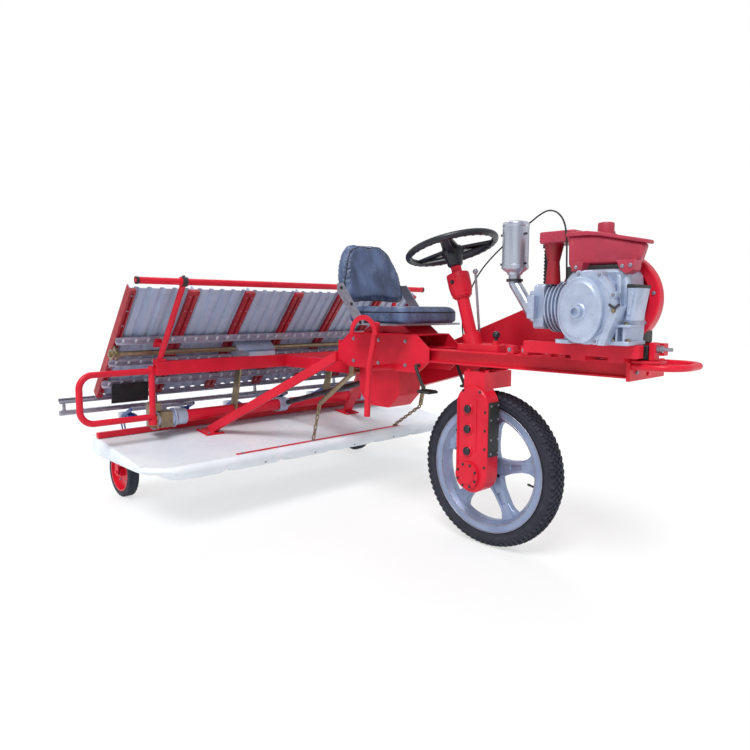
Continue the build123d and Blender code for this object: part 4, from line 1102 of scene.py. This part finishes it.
def puff(name, node, look):
    low, high = [Vector(corner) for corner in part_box(node)]
    middle, tall = (low + high) / 2, high.z - low.z
    bm = bmesh.new()
    bm.from_mesh(nodes[node].data)
    bmesh.ops.remove_doubles(bm, verts=bm.verts[:], dist=0.0001)
    bmesh.ops.triangulate(bm, faces=bm.faces[:])
    for height in (0.2, 0.35, 0.5, 0.62, 0.72, 0.8, 0.87, 0.93, 0.97):
        level = (0, 0, low.z + tall * height)
        bmesh.ops.bisect_plane(bm, geom=everything(bm), plane_co=level, plane_no=(0, 0, 1))
    for vertex in bm.verts:
        vertex.co = middle + Vector(
            [(vertex.co[i] - middle[i]) * look["shrink"][i] for i in range(3)]
        )
    for vertex in bm.verts:  # corners drawn in towards the crown
        height = (vertex.co.z - low.z) / tall
        rise = max(0.0, height - look["crownStart"]) / (1 - look["crownStart"])
        vertex.co.y *= 1 - look["crown"] * rise ** 2
        vertex.co.x -= look["lean"] * height
    cushion = addObject(name, meshOf(name, bm))
    remesh = cushion.modifiers.new("skin", "REMESH")
    remesh.mode = "VOXEL"
    remesh.voxel_size = look["voxel"]
    start = settled(cushion)
    cushion.modifiers.clear()
    cushion.data = start
    start.name = name
    scene = bpy.context.scene
    cloth = cushion.modifiers.new("filling", "CLOTH")
    cloth.settings.use_pressure = True
    cloth.settings.uniform_pressure_force = look["pressure"]
    cloth.settings.effector_weights.gravity = 0
    for frameNumber in range(1, 21):
        scene.frame_set(frameNumber)
    swollen = settled(cushion)
    cushion.modifiers.clear()
    for vertex, grown in zip(start.vertices, swollen.vertices):
        step = grown.co - vertex.co
        if step.length > look["cap"]:
            step *= look["cap"] / step.length
        vertex.co = vertex.co + step
    bpy.data.meshes.remove(swollen)
    scene.frame_set(1)
    for vertex in start.vertices:  # flat where it rests on the pan or shell
        for i in range(3):
            least, most = low[i] + look["lowSide"][i], high[i] + look["highSide"][i]
            vertex.co[i] = min(max(vertex.co[i], least), most)
    start.materials.clear()
    start.materials.append(materials["seatVinyl"])
    start.shade_smooth()
    smooth = cushion.modifiers.new("smooth", "SUBSURF")
    smooth.levels = smooth.render_levels = 1
    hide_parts(node)
    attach(cushion, "chassis")
    return cushion


def addWelt(name, cushion, place, normal, radius):
    bm = bmesh.new()
    bm.from_mesh(cushion.data)
    cut = bmesh.ops.bisect_plane(
        bm, geom=everything(bm), plane_co=place, plane_no=normal, dist=0.00001
    )
    edges = [item for item in cut["geom_cut"] if isinstance(item, bmesh.types.BMEdge)]
    links = {}
    for edge in edges:
        a, b = edge.verts
        links.setdefault(a, []).append(b)
        links.setdefault(b, []).append(a)
    start = max(links, key=lambda vertex: vertex.co.y)
    walk, before, here = [start.co.copy()], None, start
    while True:
        onward = [vertex for vertex in links[here] if vertex is not before]
        if not onward or onward[0] is start or len(walk) > 4000:
            break
        before, here = here, onward[0]
        walk.append(here.co.copy())
    bm.free()
    welt = addTube(name, walk[::3], radius, 4, (2, 3), True)
    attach(welt, "chassis")


cushionLook = {
    "lean": 0.0, "crown": 0.0, "crownStart": 0.5, "shrink": (0.96, 0.96, 0.86), "voxel": 0.006,
    "pressure": 4.0, "cap": 0.012,
    "lowSide": (-0.004, -0.004, 0.0), "highSide": (0.004, 0.004, 0.008),
}
backLook = {
    "lean": 0.022, "crown": 0.50, "crownStart": 0.35, "shrink": (0.90, 0.95, 0.94), "voxel": 0.006,
    "pressure": 4.0, "cap": 0.014,
    "lowSide": (-0.024, -0.004, 0.0), "highSide": (0.004, 0.004, 0.006),
}
seatCushion = puff("seatCushion", "seat_cushion", cushionLook)
seatBack = puff("seatBack", "seat_back", backLook)
addWelt("seatWelt", seatCushion, (0, 0, 0.921), (0, 0, 1), 0.0026)
addWelt("backWelt", seatBack, (-0.172, 0, 1.095), (0.98, 0, 0.19), 0.0026)
print("stage: seat")

# seedling tray: end trims, tabs over the ribs, rivets in the dividers, flanges and bar clamps
tray = {
    "rows": 6, "pitch": 0.3, "half": 0.9, "ribs": 5, "ribPitch": 0.0588, "slope": math.radians(50)
}
slope = {
    "foot": Vector((-1.142, 0, 0.516)),
    "up": Vector((math.cos(tray["slope"]), 0, math.sin(tray["slope"]))),
    "out": Vector((-math.sin(tray["slope"]), 0, math.cos(tray["slope"]))),
}


def trayPlace(up, out, y):
    return slope["foot"] + slope["up"] * up + slope["out"] * out + Vector((0, y, 0))


# end trims over the outer fences, in the red enamel painted darker as shade
bm = bmesh.new()
for side in (-1, 1):
    low, high = sorted((side * 0.9003, side * 0.9020))
    trim = ((0.0, -0.018), (0.655, -0.018), (0.655, 0.026), (0.0, 0.026))
    corners = [bm.verts.new(trayPlace(up, out, low)) for up, out in trim]
    thicken(bm, corners, (0, high - low, 0))
showPiece("endTrims", bm, "redEnamelPaintedShade", "tray")
trayTurn = Matrix.Rotation(-tray["slope"], 4, "Y")
bm = bmesh.new()
for up in (0.100, 0.240, 0.375):
    for row in range(tray["rows"]):
        for rib in range(tray["ribs"]):
            y = -tray["half"] + tray["pitch"] * row + 0.003 + (rib + 0.5) * tray["ribPitch"]
            place = Matrix.Translation(trayPlace(up, -0.0265, y)) @ trayTurn
            addBox(bm, place, (0.020, 0.010, 0.009))
chamferAll(bm, 0.0012)
showPiece("ribTabs", bm, "whiteEnamel", "tray")
bm = bmesh.new()
endRivet = tray["half"] - 0.01
for number in range(tray["rows"] + 1):
    for up in [0.03 + step * 0.085 for step in range(8)]:
        for side in (-0.016, 0.016):
            y = -tray["half"] + tray["pitch"] * number + side
            y = min(max(y, -endRivet), endRivet)
            addDisc(bm, trayPlace(up, -0.018, y), -slope["out"], 0.0032, 0.0018, 10, 0.0018)
showPiece("dividerRivets", bm, "galvanisedSteel", "tray")
bm = bmesh.new()
for side in (-1, 1):
    addDisc(bm, trayPlace(0.320, -0.055, side * 0.917), (0, side, 0), 0.026, 0.004, 32)
    addBolt(bm, trayPlace(0.320, -0.055, side * 0.921), (0, side, 0), 0.012)
showPiece("traverseFlanges", bm, "yellowZinc", "tray")
topBar = {"x": -0.658, "z": 1.049, "clamp": 0.683, "end": 0.898}
bm = bmesh.new()
for side in (-1, 1):
    addTurned(
        bm, (topBar["x"], side * topBar["clamp"], topBar["z"]), (0, 1, 0),
        [(0.0205, -0.012), (0.0225, -0.012), (0.0225, 0.012), (0.0205, 0.012), (0.0205, -0.012)], 32
    )
    addBolt(bm, (topBar["x"], side * topBar["clamp"], topBar["z"] + 0.020), (0, 0, 1), 0.008)
    addTurned(
        bm, (topBar["x"], side * topBar["end"], topBar["z"]), (0, side, 0),
        [(0.0152, -0.01), (0.0165, -0.006), (0.0165, 0.002), (0.010, 0.002), (0.010, -0.01)], 24
    )
showPiece("barClamps", bm, "oiledSteel")
print("stage: tray")

# planting gear: white seedling pushers, case covers with bolts and shaft collars
pusherSide = [(-1.208, 0.410), (-1.140, 0.416), (-1.138, 0.386), (-1.206, 0.384)]
bm = bmesh.new()
for row in range(tray["rows"]):
    y = (row + 0.5) * tray["pitch"] - tray["half"]
    addSheet(bm, pusherSide, y - 0.0165, y - 0.0125)
    addSheet(bm, pusherSide, y + 0.0125, y + 0.0165)
    addDisc(bm, (-1.198, y - 0.020, 0.398), (0, 1, 0), 0.016, 0.040, 20)
showPiece("pusherCovers", bm, "whiteEnamel", slot="blue_paint", bevel=0.0012)
caseEdge = (
    (-1.092, 0.412), (-1.030, 0.416), (-0.975, 0.424), (-0.915, 0.440),
    (-0.915, 0.384), (-0.975, 0.376), (-1.030, 0.372), (-1.092, 0.372),
)
bm = bmesh.new()
for y in (-0.6, 0.0, 0.6):
    for side in (-1, 1):
        for x, z in caseEdge:
            addBolt(bm, (x, y + side * 0.025, z), (0, side, 0), 0.0045)
        addTurned(
            bm, (-1.090, y + side * 0.025, 0.392), (0, side, 0),
            [(0.0122, 0.0), (0.022, 0.0), (0.022, 0.008), (0.016, 0.014), (0.0122, 0.014)], 24
        )
showPiece("caseBolts", bm, "galvanisedSteel")
bm = bmesh.new()
for side in (-1, 1):
    for start, radius, width in (
        (0.728, 0.047, 0.012), (0.712, 0.038, 0.016), (0.640, 0.038, 0.014), (0.632, 0.047, 0.008)
    ):
        addDisc(bm, (-0.890, side * start, 0.410), (0, side, 0), radius, width, 40)
showPiece("endFlanges", bm, "castAluminium", bevel=0.0015)
bm = bmesh.new()
for side in (-1, 1):
    low, high = sorted((side * 0.714, side * 0.652))
    addBlock(bm, (-0.928, low, 0.372), (-0.852, high, 0.448))
    low, high = sorted((side * 0.76, side * 0.70))
    addBlock(bm, (-0.912, low, 0.448), (-0.872, high, 0.492))
showPiece("endCovers", bm, "yellowZinc", bevel=0.003)
bm = bmesh.new()
for side in (-1, 1):
    for z in (0.646, 0.420):
        addBolt(bm, (-0.830, side * 0.7785, z), (0, side, 0), 0.008)
    addDisc(bm, (-0.830, side * 0.764, 0.398), (0, 0, 1), 0.020, 0.024, 24)
showPiece("guardBosses", bm, "redEnamel")

# float: its edges rolled over, with strip bolts, front eyes and foot plates' bolts
lipX, lipZ, rearX, rearZ = -0.470, 0.270, -1.070, 0.347
fall = (rearZ - lipZ) / (rearX - lipX)
floatLook = {
    "half": 0.965, "bottom": 0.204, "cornerFront": 0.130, "cornerRear": 0.040, "grooves": 7,
    "groove": 0.034, "grooveRise": 0.016, "chineStart": 0.790, "chineRise": 0.055,
    "chineDepth": 0.075,
    "noseStart": -0.700, "noseLong": 0.280, "tailStart": -0.960, "tailLong": 0.110,
    "sideRoll": 0.62, "sideTuck": 0.012,
}
floatZ = floatLook["bottom"]
floatSection = (  # x, z, and the share of the row grooves' lift there
    [(x, lipZ + (x - lipX) * fall, 0.0) for x in (-1.052, -0.960, -0.700, -0.540, -0.492)]
    + [
        (-0.470, 0.278, 0.0), (-0.446, 0.291, 0.0), (-0.424, 0.283, 0.0), (-0.417, 0.262, 0.2),
        (-0.424, 0.241, 0.6)
    ]
    + [(-0.450, 0.218, 1.0), (-0.500, 0.206, 1.0)]
    + [(x, floatZ, 1.0) for x in (-0.560, -0.780, -0.985)]
    + [
        (-1.035, 0.212, 0.6), (-1.064, 0.240, 0.0), (-1.072, 0.275, 0.0), (-1.072, 0.330, 0.0),
        (-1.068, 0.345, 0.0)
    ]
)
# each station across the float, with how deep the groove between two rows is there
grooveShape = (
    (-1.4, 0.0), (-1.0, 0.05), (-0.5, 0.8), (0.0, 1.0), (0.5, 0.8), (1.0, 0.05), (1.4, 0.0)
)
stations = {}
for number in range(floatLook["grooves"]):
    middle = (number - floatLook["grooves"] // 2) * tray["pitch"]
    for step, share in grooveShape:
        stations[round(middle + step * floatLook["groove"], 4)] = share
for y in (0.800, 0.956, 0.964):
    stations[y] = stations[-y] = 0.0


def cornerDrawn(y, corner):
    reach = max(0.0, abs(y) - floatLook["half"] + corner)
    return corner - math.sqrt(max(0.0, corner ** 2 - reach ** 2))


bm = bmesh.new()
rings = []
for y in sorted(stations):
    drawn = cornerDrawn(y, floatLook["cornerFront"])
    rearDrawn = cornerDrawn(y, floatLook["cornerRear"])
    last = abs(y) > 0.96
    chineWide = floatLook["half"] - floatLook["chineStart"]
    chine = max(0.0, abs(y) - floatLook["chineStart"]) / chineWide
    ring = []
    for x, z, lift in floatSection:
        share = min(max((x - floatLook["noseStart"]) / floatLook["noseLong"], 0.0), 1.0)
        rearShare = min(max((floatLook["tailStart"] - x) / floatLook["tailLong"], 0.0), 1.0)
        x += rearShare * rearDrawn - share * drawn
        depth = max(0.0, 1 - (z - floatZ) / floatLook["chineDepth"])
        z += lift * stations[y] * floatLook["grooveRise"]
        z += depth * chine ** 1.5 * floatLook["chineRise"]
        if last:  # the side rolls in above and below
            middleZ = 0.5 * (floatZ + lipZ + (x - lipX) * fall)
            z = middleZ + (z - middleZ) * floatLook["sideRoll"]
            x += floatLook["sideTuck"] * (rearShare - share)
        ring.append(bm.verts.new((x, y, z)))
    rings.append(ring)
for first, second in zip(rings, rings[1:]):
    for number in range(len(first)):
        following = (number + 1) % len(first)
        bm.faces.new((first[number], first[following], second[following], second[number]))
bm.faces.new(rings[0][::-1])
bm.faces.new(rings[-1])
floatShell = showPiece("floatShell", bm, "rotoPolyethylene", smooth=60)
rolling = floatShell.modifiers.new("rolled edges", "SUBSURF")
rolling.levels = rolling.render_levels = 2
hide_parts("float")
bm = bmesh.new()
for y in (-0.42, -0.13, 0.13, 0.42):
    addBolt(bm, (-0.434, y, 0.240), (0.75, 0, -0.66), 0.0065)
showPiece("frontEyes", bm, "oiledSteel")
bm = bmesh.new()
for y in (-0.50, -0.30, -0.10, 0.10, 0.30, 0.50):
    addBolt(bm, (-0.490, y, 0.2785), (-fall, 0, 1), 0.006)
for side in (-1, 1):
    for x, out in ((-0.895, 0.425), (-0.895, 0.487), (-0.815, 0.425), (-0.815, 0.487)):
        addBolt(bm, (x, side * out, lipZ + (x - lipX) * fall + 0.008), (-fall, 0, 1), 0.0065)
showPiece("floatBolts", bm, "galvanisedSteel")
print("stage: planting gear and float")

# transport wheels: tread bars and rim bolts
transport = {
    "axle": (-1.136, 0.779, 0.125), "bars": 36, "bar": (0.010, 0.040, 0.007), "barOut": 0.1215,
    "boltRing": 0.058, "boltOut": 0.005,
}
for side, hand in ((-1, "Right"), (1, "Left")):
    body = "transport_wheel_" + hand.lower()
    axle = (transport["axle"][0], side * transport["axle"][1], transport["axle"][2])
    bm = bmesh.new()
    place = Matrix.Translation(axle) @ Matrix.Translation((0, 0, transport["barOut"]))
    addBox(bm, place, transport["bar"])
    copyRound(bm, axle, transport["bars"])
    showPiece("treadBars" + hand, bm, "tyreRubber", body)
    bm = bmesh.new()
    for face in (-1, 1):
        middle = (axle[0], axle[1] + face * transport["boltOut"], axle[2])
        for place in ringPlaces(middle, transport["boltRing"], 5, 18):
            addBolt(bm, place, (0, face, 0), 0.0055)
    showPiece("rimBolts" + hand, bm, "galvanisedSteel", body)
print("stage: transport wheels")
